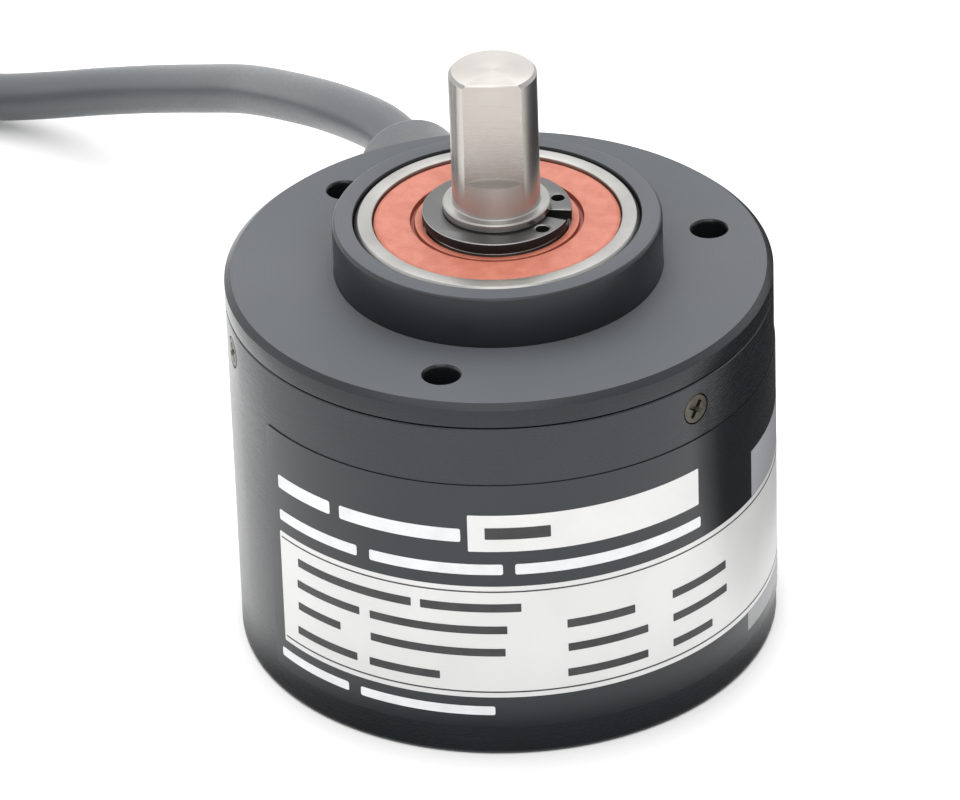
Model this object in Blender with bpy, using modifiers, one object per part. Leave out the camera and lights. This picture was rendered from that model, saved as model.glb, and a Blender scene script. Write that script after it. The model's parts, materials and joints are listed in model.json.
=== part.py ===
"""Shaft-type rotary encoder: a flange and a cover hold a shaft on two ball bearings, with the code
disc, its optics and the board inside, and a cable at the side. Metres, +Z along the shaft."""

import math

import bmesh
import bpy
import numpy as np
from mathutils import Vector

# Clearances
SEAT_GAP = 0.0001  # radial gap of a seated fit
FACE_GAP = 0.0003  # gap between faces that rest on each other
THIN_GAP = 0.00015  # gap between bearing parts that rest on each other
BALL_GAP = 0.0002  # gap between a ball and its raceway

# Body: flange and cover
BODY_RADIUS = 0.0250
BODY_HEIGHT = 0.0370  # cover's underside to the mounting face
RIM_HEIGHT = 0.0021  # the flange's visible edge
PARTING_GAP = 0.0003
EDGE_CHAMFER = 0.0005
PARTING_CHAMFER = 0.0002
FLANGE_THICKNESS = 0.0072
BOSS_WALL = 0.0019
BOSS_HEIGHT = 0.0050
BOSS_SINK = 0.0030  # below the mounting face
BOSS_BORE_CHAMFER = 0.0005
SLEEVE_WALL = 0.0010
SLEEVE_OVERHANG = 0.0004
COVER_WALL = 0.0012
COVER_FLOOR = 0.0016
COVER_EDGE_RADIUS = 0.0003

# Mounting holes, tapped M4
HOLE_COUNT = 3
HOLE_CIRCLE_RADIUS = 0.0200
HOLE_RADIUS = 0.00165
HOLE_CHAMFER = 0.0002
HOLE_DEPTH = 0.0055
FIRST_HOLE_ANGLE = -90.0

# Countersunk cover screws
COVER_SCREW_PHASE = 59.0  # degrees from a mounting hole
COVER_SCREW_DROP = 0.0051  # below the mounting face
COVER_SCREW_HEAD_RADIUS = 0.0014
COVER_SCREW_SHANK_RADIUS = 0.0009
COVER_SCREW_RIM = 0.0002
COVER_SCREW_LENGTH = 0.0040

# O-ring between flange and cover
O_RING_THICKNESS = 0.0010
O_RING_GROOVE_MARGIN = 0.0001
O_RING_DROP = 0.0010  # rim's underside to the O-ring's middle

# Ball bearings, 10 x 26 x 8 mm
BEARING_BORE_RADIUS = 0.0050
BEARING_OUTER_RADIUS = 0.0130
BEARING_WIDTH = 0.0080
BEARING_CHAMFER = 0.0003
BEARING_RECESS = 0.0003  # front face below the boss
INNER_RING_THICKNESS = 0.0020
OUTER_RING_THICKNESS = 0.0021
SEAL_SEAT_WALL = 0.00165
SEAL_SEAT_DEPTH = 0.0012
SEAL_THICKNESS = 0.0009
SEAL_LIP_DEPTH = 0.0003
SEAL_LIP_WIDTH = 0.0005
BALL_COUNT = 7
RACE_WALL = 0.00162  # left of a ring behind each ball
CAGE_WIDTH = 0.0011
CAGE_HEIGHT = 0.0010
LIP_THICKNESS = 0.0015
LIP_WIDTH = 0.0017
SPACER_WALL = 0.0014

# Wave washer that preloads the bearings
WAVE_SPACE = 0.0015
WAVE_THICKNESS = 0.0004
WAVE_COUNT = 3
WAVE_WIDTH = 0.0011
WAVE_EDGE_GAP = 0.0003

# Shaft
SHAFT_RADIUS = 0.0040
SHAFT_REACH = 0.0200  # above the mounting face
SHAFT_CHAMFER = 0.0003
STEP_RISE = 0.0017  # step above the boss
STEP_CHAMFER = 0.00035
FLAT_LENGTH = 0.0100
FLAT_OFFSET = 0.0030  # from the axis
FLAT_ANGLE = -77.0
SHOULDER_STEP = 0.0015
SHOULDER_THICKNESS = 0.0013
TAIL_RADIUS = 0.0040

# Retaining ring
CLIP_THICKNESS = 0.0010
CLIP_WIDTH = 0.0021
CLIP_GROOVE_DEPTH = 0.0003
CLIP_GAP_ANGLE = 12.0
CLIP_HOLE_ANGLE = 30.0  # either side of the gap's middle
CLIP_HOLE_RADIUS = 0.0006

# Code disc and its hub
HUB_RADIUS = 0.0075
HUB_HEIGHT = 0.0034
HUB_FLANGE_RADIUS = 0.0100
HUB_FLANGE_THICKNESS = 0.0015
HUB_SPIGOT_RADIUS = 0.0060
HUB_SPIGOT_HEIGHT = 0.0016
DISC_THICKNESS = 0.0010
DISC_MARGIN = 0.0005  # disc's edge to the standoffs
TRACK_INSET = 0.0013  # disc's edge to the optical axis
SET_SCREW_RADIUS = 0.0009
SET_SCREW_LENGTH = 0.0028

# Optics
LED_ANGLE = 240.0
LED_RADIUS = 0.0008
LED_FLANGE_RADIUS = 0.0010
LED_FLANGE_THICKNESS = 0.0010
LED_LENGTH = 0.0048
LENS_EDGE_HEIGHT = 0.0012
LENS_RISE = 0.0006
LENS_LED_GAP = 0.0006
BRACKET_WALL = 0.0006
BRACKET_WIDTH = 0.0060  # tangential
BRACKET_DISC_GAP = 0.0012
EAR_THICKNESS = 0.0022
EAR_SPACING = 0.0112
EAR_WIDTH = 0.0040
FLEX_WIDTH = 0.0040
FLEX_THICKNESS = 0.0002
FLEX_TOP_DROP = 0.0040
MASK_WIDTH = 0.0080
MASK_THICKNESS = 0.0007
MASK_DISC_GAP = 0.0006
SENSOR_WIDTH = 0.0070
SENSOR_HEIGHT = 0.0021

# Board and its fixings
BOARD_THICKNESS = 0.0016
BOARD_CLEARANCE = 0.0005  # board's edge to the cover's wall
STANDOFF_WIDTH = 0.0026
STANDOFF_CLEARANCE = 0.0005  # standoff to the cover's wall
STANDOFF_ANGLES = (60.0, 180.0, 300.0)
STUD_RADIUS = 0.0008
STUD_LENGTH = 0.0025
PAN_HEAD_RADIUS = 0.0015
PAN_HEAD_HEIGHT = 0.0012
PAN_SHANK_RADIUS = 0.00075
PAN_GRIP = 0.0025  # thread beyond what it clamps
CHIP_SIZE = (0.0070, 0.0070)
CHIP_HEIGHT = 0.0014
TERMINAL_SIZE = (0.0026, 0.0096)
TERMINAL_HEIGHT = 0.0030

# Cable, its bush and its inner end
GLAND_ANGLE = 119.0
GLAND_DROP = 0.0090  # axis below the mounting face
GLAND_REACH = 0.0110  # beyond the cover
GLAND_RADIUS = 0.0050
GLAND_NECK_RADIUS = 0.0040
GLAND_COLLAR_RADIUS = 0.0056
GLAND_COLLAR_THICKNESS = 0.0015
GLAND_FLANGE_RADIUS = 0.0047  # inside the cover
GLAND_FLANGE_THICKNESS = 0.0012
GLAND_EDGE_RADIUS = 0.0008
CABLE_RADIUS = 0.0025
CABLE_INNER_LENGTH = 0.0056  # inside the cover's outer face
FERRULE_WALL = 0.0007
FERRULE_LENGTH = 0.0014
NOTCH_MARGIN = 0.0003
INNER_WIRE_COUNT = 5
INNER_WIRE_RADIUS = 0.0004
INNER_WIRE_PITCH = 0.0010
TERMINAL_PITCH = 0.0018
INNER_WIRE_STEPS = 10

# Free stretch of the cable, from the bush to the coil
CABLE_ROUTE = (
    (-0.0196, 0.0352, 0.0280),
    (-0.0227, 0.0389, 0.0274),
    (-0.0287, 0.0451, 0.0252),
    (-0.0352, 0.0523, 0.0218),
    (-0.0426, 0.0604, 0.0175),
    (-0.0496, 0.0663, 0.0136),
    (-0.0565, 0.0710, 0.0102),
    (-0.0633, 0.0746, 0.0072),
    (-0.0697, 0.0769, 0.0048),
    (-0.0757, 0.0780, 0.0033),
    (-0.0815, 0.0785, 0.0028),
    (-0.0868, 0.0783, 0.0028),
    (-0.0920, 0.0774, 0.0030),
    (-0.0985, 0.0756, 0.0033),
)
CABLE_STEPS = 28

# Coil of the rest of the cable, two layers, spiralling in and out again
COIL_CENTRE = (-0.1050, 0.0380)
COIL_START_ANGLE = 105.5
COIL_TURNS = 5.25
COIL_OUTER_RADIUS = 0.0345
COIL_GAP = 0.0006  # between turns
COIL_CLIMB_TURNS = 0.5
COIL_POINTS_PER_TURN = 24

# Strap round the coil
TIE_ANGLE = 45.0  # past the coil's start
TIE_WIDTH = 0.0040
TIE_THICKNESS = 0.0006
TIE_FLOOR_GAP = 0.00005
TIE_CORNER_RADIUS = 0.0020

# Stripped leads at the cable's far end: distance along, share of the drop, share of the spread
LEAD_RADIUS = 0.00055
LEAD_PITCH = 0.0014
LEAD_FLOOR_GAP = 0.00005
LEAD_SPREAD = 0.0026
LEAD_ROUTE = (
    (0.000, 0.00, 0.00),
    (0.004, 0.00, 0.02),
    (0.009, 0.08, 0.14),
    (0.015, 0.32, 0.36),
    (0.021, 0.64, 0.58),
    (0.027, 0.90, 0.76),
    (0.033, 1.00, 0.88),
    (0.040, 1.00, 0.96),
    (0.047, 1.00, 1.00),
)
LEAD_COLUMNS = (-1, -1, 0, 0, 1, 1)
LEAD_ROWS = (1, -1, -1, 1, -1, 1)
LEAD_STEPS = 11

# Label on the cover
LABEL_START_ANGLE = 227.0
LABEL_SPAN = 188.0
LABEL_BASE = 0.0030
LABEL_HEIGHT = 0.0258
LABEL_THICKNESS = 0.0001
LABEL_GAP = 0.00005

# Cross recess of the screws
RECESS_WIDTH = 0.0004
RECESS_DEPTH = 0.0005
RECESS_SHARE = 0.6  # of the head's width

# Facets round a full turn
BODY_STEPS = 48
DISC_STEPS = 36
RING_STEPS = 24
SMALL_STEPS = 16
BORE_STEPS = 10
SHARP_ANGLE = math.radians(30)
CUTTER_REACH = 0.0020  # how far a cutter runs past the face it opens
MERGE = 1e-6

# Heights, from the mounting face down
MOUNT_FACE = BODY_HEIGHT
BOSS_TOP = MOUNT_FACE + BOSS_HEIGHT
COUNTERBORE_FLOOR = MOUNT_FACE - BOSS_SINK
RIM_BASE = MOUNT_FACE - RIM_HEIGHT
COVER_TOP = RIM_BASE - PARTING_GAP
PLATE_BASE = MOUNT_FACE - FLANGE_THICKNESS
FRONT_BEARING_TOP = BOSS_TOP - BEARING_RECESS
FRONT_BEARING_BASE = FRONT_BEARING_TOP - BEARING_WIDTH
LIP_TOP = FRONT_BEARING_BASE - FACE_GAP
LIP_BASE = LIP_TOP - LIP_THICKNESS
REAR_BEARING_TOP = LIP_BASE - WAVE_SPACE
REAR_BEARING_BASE = REAR_BEARING_TOP - BEARING_WIDTH
SLEEVE_BASE = REAR_BEARING_BASE - SLEEVE_OVERHANG
SHOULDER_TOP = REAR_BEARING_BASE - THIN_GAP
SHOULDER_BASE = SHOULDER_TOP - SHOULDER_THICKNESS
HUB_TOP = SHOULDER_BASE - FACE_GAP
HUB_FLANGE_TOP = HUB_TOP - HUB_HEIGHT
HUB_FLANGE_BASE = HUB_FLANGE_TOP - HUB_FLANGE_THICKNESS
HUB_BASE = HUB_FLANGE_BASE - HUB_SPIGOT_HEIGHT
DISC_TOP = HUB_FLANGE_BASE - FACE_GAP
DISC_BASE = DISC_TOP - DISC_THICKNESS
MASK_TOP = DISC_BASE - MASK_DISC_GAP
SENSOR_TOP = MASK_TOP - MASK_THICKNESS - THIN_GAP
BOARD_TOP = SENSOR_TOP - SENSOR_HEIGHT - THIN_GAP
BOARD_BASE = BOARD_TOP - BOARD_THICKNESS
SHAFT_TOP = MOUNT_FACE + SHAFT_REACH
STEP_TOP = BOSS_TOP + STEP_RISE
CLIP_BASE = FRONT_BEARING_TOP + THIN_GAP
CLIP_TOP = CLIP_BASE + CLIP_THICKNESS
COVER_SCREW_HEIGHT = MOUNT_FACE - COVER_SCREW_DROP
O_RING_HEIGHT = RIM_BASE - O_RING_DROP
GLAND_HEIGHT = MOUNT_FACE - GLAND_DROP

# Radii, from the body inwards
COVER_INNER_RADIUS = BODY_RADIUS - COVER_WALL
SPIGOT_RADIUS = COVER_INNER_RADIUS - 2 * SEAT_GAP
GROOVE_RADIUS = COVER_INNER_RADIUS - SEAT_GAP - O_RING_THICKNESS - O_RING_GROOVE_MARGIN
SEAT_RADIUS = BEARING_OUTER_RADIUS + SEAT_GAP
BOSS_RADIUS = SEAT_RADIUS + BOSS_WALL
COUNTERBORE_RADIUS = BOSS_RADIUS + SEAT_GAP
SLEEVE_RADIUS = SEAT_RADIUS + SLEEVE_WALL
CARTRIDGE_BORE_RADIUS = SLEEVE_RADIUS + SEAT_GAP
LIP_HOLE_RADIUS = SEAT_RADIUS - LIP_WIDTH
WAVE_OUTER_RADIUS = SEAT_RADIUS - WAVE_EDGE_GAP
WAVE_INNER_RADIUS = WAVE_OUTER_RADIUS - WAVE_WIDTH
OUTER_LAND_RADIUS = BEARING_OUTER_RADIUS - OUTER_RING_THICKNESS
SEAL_SEAT_RADIUS = BEARING_OUTER_RADIUS - SEAL_SEAT_WALL
PITCH_RADIUS = (BEARING_OUTER_RADIUS + BEARING_BORE_RADIUS) / 2
BALL_RADIUS = (BEARING_OUTER_RADIUS - BEARING_BORE_RADIUS) / 2 - RACE_WALL
INNER_LAND_RADIUS = BEARING_BORE_RADIUS + INNER_RING_THICKNESS
SPACER_RADIUS = BEARING_BORE_RADIUS + SPACER_WALL
JOURNAL_RADIUS = BEARING_BORE_RADIUS - SEAT_GAP
SHOULDER_RADIUS = JOURNAL_RADIUS + SHOULDER_STEP
CLIP_GROOVE_RADIUS = JOURNAL_RADIUS - CLIP_GROOVE_DEPTH
CLIP_INNER_RADIUS = CLIP_GROOVE_RADIUS + SEAT_GAP
CLIP_OUTER_RADIUS = CLIP_INNER_RADIUS + CLIP_WIDTH
STANDOFF_CIRCLE_RADIUS = COVER_INNER_RADIUS - STANDOFF_CLEARANCE - STANDOFF_WIDTH / 2
BOARD_RADIUS = COVER_INNER_RADIUS - BOARD_CLEARANCE
DISC_RADIUS = STANDOFF_CIRCLE_RADIUS - STANDOFF_WIDTH / 2 - DISC_MARGIN
OPTIC_RADIUS = DISC_RADIUS - TRACK_INSET
LED_BORE_RADIUS = LED_FLANGE_RADIUS + 2 * SEAT_GAP
BRACKET_DEPTH = 2 * (LED_BORE_RADIUS + BRACKET_WALL)
TERMINAL_RADIUS = BOARD_RADIUS - TERMINAL_SIZE[0] / 2 - FACE_GAP
GLAND_END = BODY_RADIUS + GLAND_REACH
CABLE_INNER_END = BODY_RADIUS - CABLE_INNER_LENGTH
COIL_PITCH = 2 * CABLE_RADIUS + COIL_GAP


def clear_scene():
    for obj in list(bpy.data.objects):
        bpy.data.objects.remove(obj)


def new_collection(name, hidden=False):
    collection = bpy.data.collections.new(name)
    collection.hide_render = hidden
    bpy.context.scene.collection.children.link(collection)
    return collection


def finish(name, colour, roughness, metallic=0.0):
    material = bpy.data.materials.new(name)
    material.use_nodes = True
    shader = material.node_tree.nodes["Principled BSDF"]
    shader.inputs["Base Color"].default_value = (*colour, 1.0)
    shader.inputs["Roughness"].default_value = roughness
    shader.inputs["Metallic"].default_value = metallic
    return material


def polar(radius, angle, height=0.0):
    turn = math.radians(angle)
    return Vector((radius * math.cos(turn), radius * math.sin(turn), height))


def upright(obj, angle, radius, height):
    """Stands a piece at a plan angle, with its own X pointing outwards."""
    obj.location = polar(radius, angle, height)
    obj.rotation_euler = (0, 0, math.radians(angle))


def radial(obj, angle, radius, height):
    """Lays a piece at a plan angle, with its own Z pointing outwards."""
    obj.location = polar(radius, angle, height)
    obj.rotation_euler = (0, math.pi / 2, math.radians(angle))


def hole_angles():
    return [FIRST_HOLE_ANGLE + 360 / HOLE_COUNT * i for i in range(HOLE_COUNT)]


def cover_screw_angles():
    return [angle + COVER_SCREW_PHASE for angle in hole_angles()]


class Workshop:
    """Makes objects in the part's collection, and cutters in their own."""

    def __init__(self):
        self.parts = new_collection("rotary_encoder")
        self.cutters = new_collection("cutters", hidden=True)
        self.groups = {}

    def group(self, name):
        if name not in self.groups:
            empty = bpy.data.objects.new(name, None)
            self.parts.objects.link(empty)
            self.groups[name] = empty
        return self.groups[name]

    def add(self, name, data, material, body):
        obj = bpy.data.objects.new(name, data)
        self.parts.objects.link(obj)
        data.materials.append(material)
        obj.parent = self.group(body)
        return obj

    def helper(self, name, data):
        obj = bpy.data.objects.new(name, data)
        self.cutters.objects.link(obj)
        obj.hide_render = True
        obj.display_type = "WIRE"
        return obj

    def turned(self, name, profile, material, body, steps, closed=True):
        obj = self.add(name, profile_mesh(name, profile, closed), material, body)
        spin(obj, steps)
        return obj

    def turned_cutter(self, name, profile, steps, closed=False):
        obj = self.helper(name, profile_mesh(name, profile, closed))
        spin(obj, steps)
        return obj

    def box(self, name, size, material, body):
        return self.add(name, box_mesh(name, size), material, body)

    def box_cutter(self, name, size):
        return self.helper(name, box_mesh(name, size))

    def tube(self, name, points, radius, material, body, bevel_resolution=2):
        curve = bpy.data.curves.new(name, "CURVE")
        curve.dimensions = "3D"
        curve.bevel_depth = radius
        curve.bevel_resolution = bevel_resolution
        curve.use_fill_caps = True
        add_spline(curve, points, cyclic=False)
        return self.add(name, curve, material, body)

    def plate(self, name, outlines, thickness, material, body):
        """A flat piece, from its outline and those of its holes."""
        curve = bpy.data.curves.new(name, "CURVE")
        curve.dimensions = "2D"
        curve.fill_mode = "BOTH"
        curve.extrude = thickness / 2
        for outline in outlines:
            add_spline(curve, [(x, y, 0) for x, y in outline], cyclic=True)
        return self.add(name, curve, material, body)


def profile_mesh(name, profile, closed):
    """The edges of a turned shape's section, given as radius and height."""
    mesh = bpy.data.meshes.new(name)
    edges = [(i, i + 1) for i in range(len(profile) - 1)]
    if closed:
        edges.append((len(profile) - 1, 0))
    mesh.from_pydata([(r, 0, z) for r, z in profile], edges, [])
    return mesh


def spin(obj, steps, angle=2 * math.pi):
    screw = obj.modifiers.new("spin", "SCREW")
    screw.angle = angle
    screw.steps = screw.render_steps = steps
    screw.use_merge_vertices = True
    screw.merge_threshold = MERGE


def box_mesh(name, size):
    shape = bmesh.new()
    bmesh.ops.create_cube(shape, size=1)
    bmesh.ops.scale(shape, vec=size, verts=shape.verts)
    return mesh_from(name, shape)


def mesh_from(name, shape):
    mesh = bpy.data.meshes.new(name)
    shape.to_mesh(mesh)
    shape.free()
    return mesh


def rod_profile(radius, low, high):
    return [(0, high), (radius, high), (radius, low), (0, low)]


def ring_profile(inner, outer, low, high):
    return [(inner, high), (outer, high), (outer, low), (inner, low)]


def add_spline(curve, points, cyclic):
    spline = curve.splines.new("POLY")
    spline.points.add(len(points) - 1)
    for target, point in zip(spline.points, points):
        target.co = (*point, 1)
    spline.use_cyclic_u = cyclic


def arc(radius, start, end, steps, centre=(0, 0)):
    angles = [math.radians(start + (end - start) * i / steps) for i in range(steps + 1)]
    return [(centre[0] + radius * math.cos(a), centre[1] + radius * math.sin(a)) for a in angles]


def circle(radius, steps, centre=(0, 0)):
    return arc(radius, 0, 360, steps, centre)[:-1]


def boolean(obj, tool, operation):
    modifier = obj.modifiers.new(tool.name, "BOOLEAN")
    modifier.operation = operation
    modifier.solver = "EXACT"
    modifier.object = tool


def cut(obj, tool):
    boolean(obj, tool, "DIFFERENCE")


def join(obj, tool):
    boolean(obj, tool, "UNION")


def smooth_route(points, count):
    """Evenly spaced points on a smooth curve through the given ones."""
    knots = [Vector(p) for p in points]
    knots = [2 * knots[0] - knots[1], *knots, 2 * knots[-1] - knots[-2]]
    fine = []
    for a, b, c, d in zip(knots, knots[1:], knots[2:], knots[3:]):
        for i in range(16):
            t = i / 16
            fine.append(0.5 * (2 * b + (c - a) * t + (2 * a - 5 * b + 4 * c - d) * t**2
                               + (3 * b - a - 3 * c + d) * t**3))
    fine.append(knots[-2])
    travelled = [0.0]
    for a, b in zip(fine, fine[1:]):
        travelled.append(travelled[-1] + (b - a).length)
    wanted = np.linspace(0, travelled[-1], count)
    columns = [np.interp(wanted, travelled, [p[axis] for p in fine]) for axis in range(3)]
    return [Vector(p) for p in zip(*columns)]


def bake(obj):
    """Applies a piece's modifiers, and shades it smooth up to its sharp edges."""
    graph = bpy.context.evaluated_depsgraph_get()
    mesh = bpy.data.meshes.new_from_object(obj.evaluated_get(graph))
    obj.modifiers.clear()
    obj.data = mesh
    mesh.shade_smooth()
    mesh.set_sharp_from_angle(angle=SHARP_ANGLE)


# Flange and cover


def flange_profile():
    groove_half = O_RING_THICKNESS / 2 + O_RING_GROOVE_MARGIN
    return [
        (COUNTERBORE_RADIUS, MOUNT_FACE),
        (BODY_RADIUS - EDGE_CHAMFER, MOUNT_FACE),
        (BODY_RADIUS, MOUNT_FACE - EDGE_CHAMFER),
        (BODY_RADIUS, RIM_BASE + PARTING_CHAMFER),
        (BODY_RADIUS - PARTING_CHAMFER, RIM_BASE),
        (SPIGOT_RADIUS, RIM_BASE),
        (SPIGOT_RADIUS, O_RING_HEIGHT + groove_half),
        (GROOVE_RADIUS, O_RING_HEIGHT + groove_half),
        (GROOVE_RADIUS, O_RING_HEIGHT - groove_half),
        (SPIGOT_RADIUS, O_RING_HEIGHT - groove_half),
        (SPIGOT_RADIUS, PLATE_BASE),
        (CARTRIDGE_BORE_RADIUS, PLATE_BASE),
        (CARTRIDGE_BORE_RADIUS, COUNTERBORE_FLOOR),
        (COUNTERBORE_RADIUS, COUNTERBORE_FLOOR),
    ]


def cartridge_profile():
    """The bearings' housing: the boss, seated in the flange's counterbore, and the sleeve below it."""
    return [
        (SEAT_RADIUS + BOSS_BORE_CHAMFER, BOSS_TOP),
        (BOSS_RADIUS - EDGE_CHAMFER, BOSS_TOP),
        (BOSS_RADIUS, BOSS_TOP - EDGE_CHAMFER),
        (BOSS_RADIUS, COUNTERBORE_FLOOR + SEAT_GAP),
        (SLEEVE_RADIUS, COUNTERBORE_FLOOR + SEAT_GAP),
        (SLEEVE_RADIUS, SLEEVE_BASE),
        (SEAT_RADIUS, SLEEVE_BASE),
        (SEAT_RADIUS, LIP_BASE),
        (LIP_HOLE_RADIUS, LIP_BASE),
        (LIP_HOLE_RADIUS, LIP_TOP),
        (SEAT_RADIUS, LIP_TOP),
        (SEAT_RADIUS, BOSS_TOP - BOSS_BORE_CHAMFER),
    ]


def make_cartridge(shop, look):
    bake(shop.turned("bearing_cartridge", cartridge_profile(), look, "housing", BODY_STEPS))


def mounting_hole_profile():
    mouth = HOLE_RADIUS + HOLE_CHAMFER
    return [
        (0, CUTTER_REACH),
        (mouth, CUTTER_REACH),
        (mouth, 0),
        (HOLE_RADIUS, -HOLE_CHAMFER),
        (HOLE_RADIUS, -HOLE_DEPTH),
        (0, -HOLE_DEPTH),
    ]


def make_flange(shop, look):
    flange = shop.turned("flange_base", flange_profile(), look, "housing", BODY_STEPS)
    for i, angle in enumerate(hole_angles(), 1):
        tool = shop.turned_cutter(f"mounting_hole_{i}", mounting_hole_profile(), SMALL_STEPS)
        upright(tool, angle, HOLE_CIRCLE_RADIUS, MOUNT_FACE)
        cut(flange, tool)
    thread = rod_profile(COVER_SCREW_SHANK_RADIUS + SEAT_GAP,
                         BODY_RADIUS - COVER_SCREW_LENGTH - FACE_GAP, BODY_RADIUS)
    for i, angle in enumerate(cover_screw_angles(), 1):
        tool = shop.turned_cutter(f"cover_screw_thread_{i}", thread, BORE_STEPS)
        radial(tool, angle, 0, COVER_SCREW_HEIGHT)
        cut(flange, tool)
    notch = rod_profile(GLAND_FLANGE_RADIUS + NOTCH_MARGIN, SLEEVE_RADIUS / 2, BODY_RADIUS)
    tool = shop.turned_cutter("cable_notch", notch, SMALL_STEPS)
    radial(tool, GLAND_ANGLE, 0, GLAND_HEIGHT)
    cut(flange, tool)
    stud = rod_profile(STUD_RADIUS + SEAT_GAP, -CUTTER_REACH, STUD_LENGTH + FACE_GAP)
    for i, angle in enumerate(STANDOFF_ANGLES, 1):
        tool = shop.turned_cutter(f"standoff_thread_{i}", stud, BORE_STEPS)
        upright(tool, angle, STANDOFF_CIRCLE_RADIUS, PLATE_BASE)
        cut(flange, tool)
    grip = rod_profile(PAN_SHANK_RADIUS + SEAT_GAP, -CUTTER_REACH, PAN_GRIP + FACE_GAP)
    for i, place in enumerate(ear_places(), 1):
        tool = shop.turned_cutter(f"bracket_thread_{i}", grip, BORE_STEPS)
        tool.location = (place.x, place.y, PLATE_BASE)
        cut(flange, tool)
    bake(flange)


def cover_profile():
    corner = (BODY_RADIUS - COVER_EDGE_RADIUS, COVER_EDGE_RADIUS)
    return [
        (0, COVER_FLOOR),
        (COVER_INNER_RADIUS, COVER_FLOOR),
        (COVER_INNER_RADIUS, COVER_TOP),
        (BODY_RADIUS - PARTING_CHAMFER, COVER_TOP),
        (BODY_RADIUS, COVER_TOP - PARTING_CHAMFER),
        *arc(COVER_EDGE_RADIUS, 0, -90, 2, corner),
        (0, 0),
    ]


def countersink_profile():
    """Hole for a countersunk screw, its height counted outwards from the cover's face."""
    cone = COVER_SCREW_HEAD_RADIUS - COVER_SCREW_SHANK_RADIUS
    return [
        (0, CUTTER_REACH),
        (COVER_SCREW_HEAD_RADIUS + SEAT_GAP, CUTTER_REACH),
        (COVER_SCREW_HEAD_RADIUS + SEAT_GAP, -COVER_SCREW_RIM),
        (COVER_SCREW_SHANK_RADIUS + SEAT_GAP, -COVER_SCREW_RIM - cone),
        (COVER_SCREW_SHANK_RADIUS + SEAT_GAP, -COVER_WALL - CUTTER_REACH),
        (0, -COVER_WALL - CUTTER_REACH),
    ]


def make_cover(shop, look):
    cover = shop.turned("cover", cover_profile(), look, "housing", BODY_STEPS, closed=False)
    for i, angle in enumerate(cover_screw_angles(), 1):
        tool = shop.turned_cutter(f"countersink_{i}", countersink_profile(), SMALL_STEPS)
        radial(tool, angle, BODY_RADIUS, COVER_SCREW_HEIGHT)
        cut(cover, tool)
    hole = rod_profile(GLAND_NECK_RADIUS + SEAT_GAP, COVER_INNER_RADIUS - CUTTER_REACH,
                       BODY_RADIUS + CUTTER_REACH)
    tool = shop.turned_cutter("gland_hole", hole, SMALL_STEPS)
    radial(tool, GLAND_ANGLE, 0, GLAND_HEIGHT)
    cut(cover, tool)
    bake(cover)


def make_o_ring(shop, look):
    radius = O_RING_THICKNESS / 2
    middle = COVER_INNER_RADIUS - SEAT_GAP - radius
    section = arc(radius, 120, -180, 5, (middle, O_RING_HEIGHT))
    bake(shop.turned("cover_o_ring", section, look, "housing", DISC_STEPS))


def cut_cross(shop, screw, name, head_radius, place):
    """Cuts a cross recess into a screw's head, at its local origin, with the head facing local +Z."""
    length = 2 * head_radius * RECESS_SHARE
    for i, size in enumerate(((length, RECESS_WIDTH), (RECESS_WIDTH, length)), 1):
        tool = shop.box_cutter(f"{name}_recess_{i}", (*size, 2 * RECESS_DEPTH))
        place(tool)
        cut(screw, tool)


def make_cover_screws(shop, look):
    cone = COVER_SCREW_HEAD_RADIUS - COVER_SCREW_SHANK_RADIUS
    profile = [
        (0, 0),
        (COVER_SCREW_HEAD_RADIUS, 0),
        (COVER_SCREW_HEAD_RADIUS, -COVER_SCREW_RIM),
        (COVER_SCREW_SHANK_RADIUS, -COVER_SCREW_RIM - cone),
        (COVER_SCREW_SHANK_RADIUS, -COVER_SCREW_LENGTH),
        (0, -COVER_SCREW_LENGTH),
    ]
    for i, angle in enumerate(cover_screw_angles(), 1):
        name = f"cover_screw_{i}"
        screw = shop.turned(name, profile, look, "housing", SMALL_STEPS, closed=False)

        def place(obj, angle=angle):
            radial(obj, angle, BODY_RADIUS, COVER_SCREW_HEIGHT)

        place(screw)
        cut_cross(shop, screw, name, COVER_SCREW_HEAD_RADIUS, place)
        bake(screw)


def make_label(shop, look):
    radius = BODY_RADIUS + LABEL_GAP
    edge = profile_mesh("label", [(radius, LABEL_HEIGHT), (radius, 0)], closed=False)
    label = shop.add("label", edge, look, "housing")
    spin(label, DISC_STEPS, math.radians(LABEL_SPAN))
    shell = label.modifiers.new("thickness", "SOLIDIFY")
    shell.thickness = LABEL_THICKNESS
    shell.offset = 1
    upright(label, LABEL_START_ANGLE, 0, LABEL_BASE)
    bake(label)


# Bearings


def raceway(land_radius, outwards, steps=4):
    """Points of a ball groove that opens in a land, from the top edge to the bottom one."""
    radius = BALL_RADIUS + BALL_GAP
    half = math.degrees(math.acos(abs(land_radius - PITCH_RADIUS) / radius))
    if outwards:
        return arc(radius, half, -half, steps, (PITCH_RADIUS, 0))
    return arc(radius, 180 - half, 180 + half, steps, (PITCH_RADIUS, 0))


def outer_ring_profile():
    half = BEARING_WIDTH / 2
    seat = half - SEAL_SEAT_DEPTH
    return [
        (SEAL_SEAT_RADIUS, half),
        (BEARING_OUTER_RADIUS - BEARING_CHAMFER, half),
        (BEARING_OUTER_RADIUS, half - BEARING_CHAMFER),
        (BEARING_OUTER_RADIUS, -half + BEARING_CHAMFER),
        (BEARING_OUTER_RADIUS - BEARING_CHAMFER, -half),
        (SEAL_SEAT_RADIUS, -half),
        (SEAL_SEAT_RADIUS, -seat),
        (OUTER_LAND_RADIUS, -seat),
        *reversed(raceway(OUTER_LAND_RADIUS, outwards=True)),
        (OUTER_LAND_RADIUS, seat),
        (SEAL_SEAT_RADIUS, seat),
    ]


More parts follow.
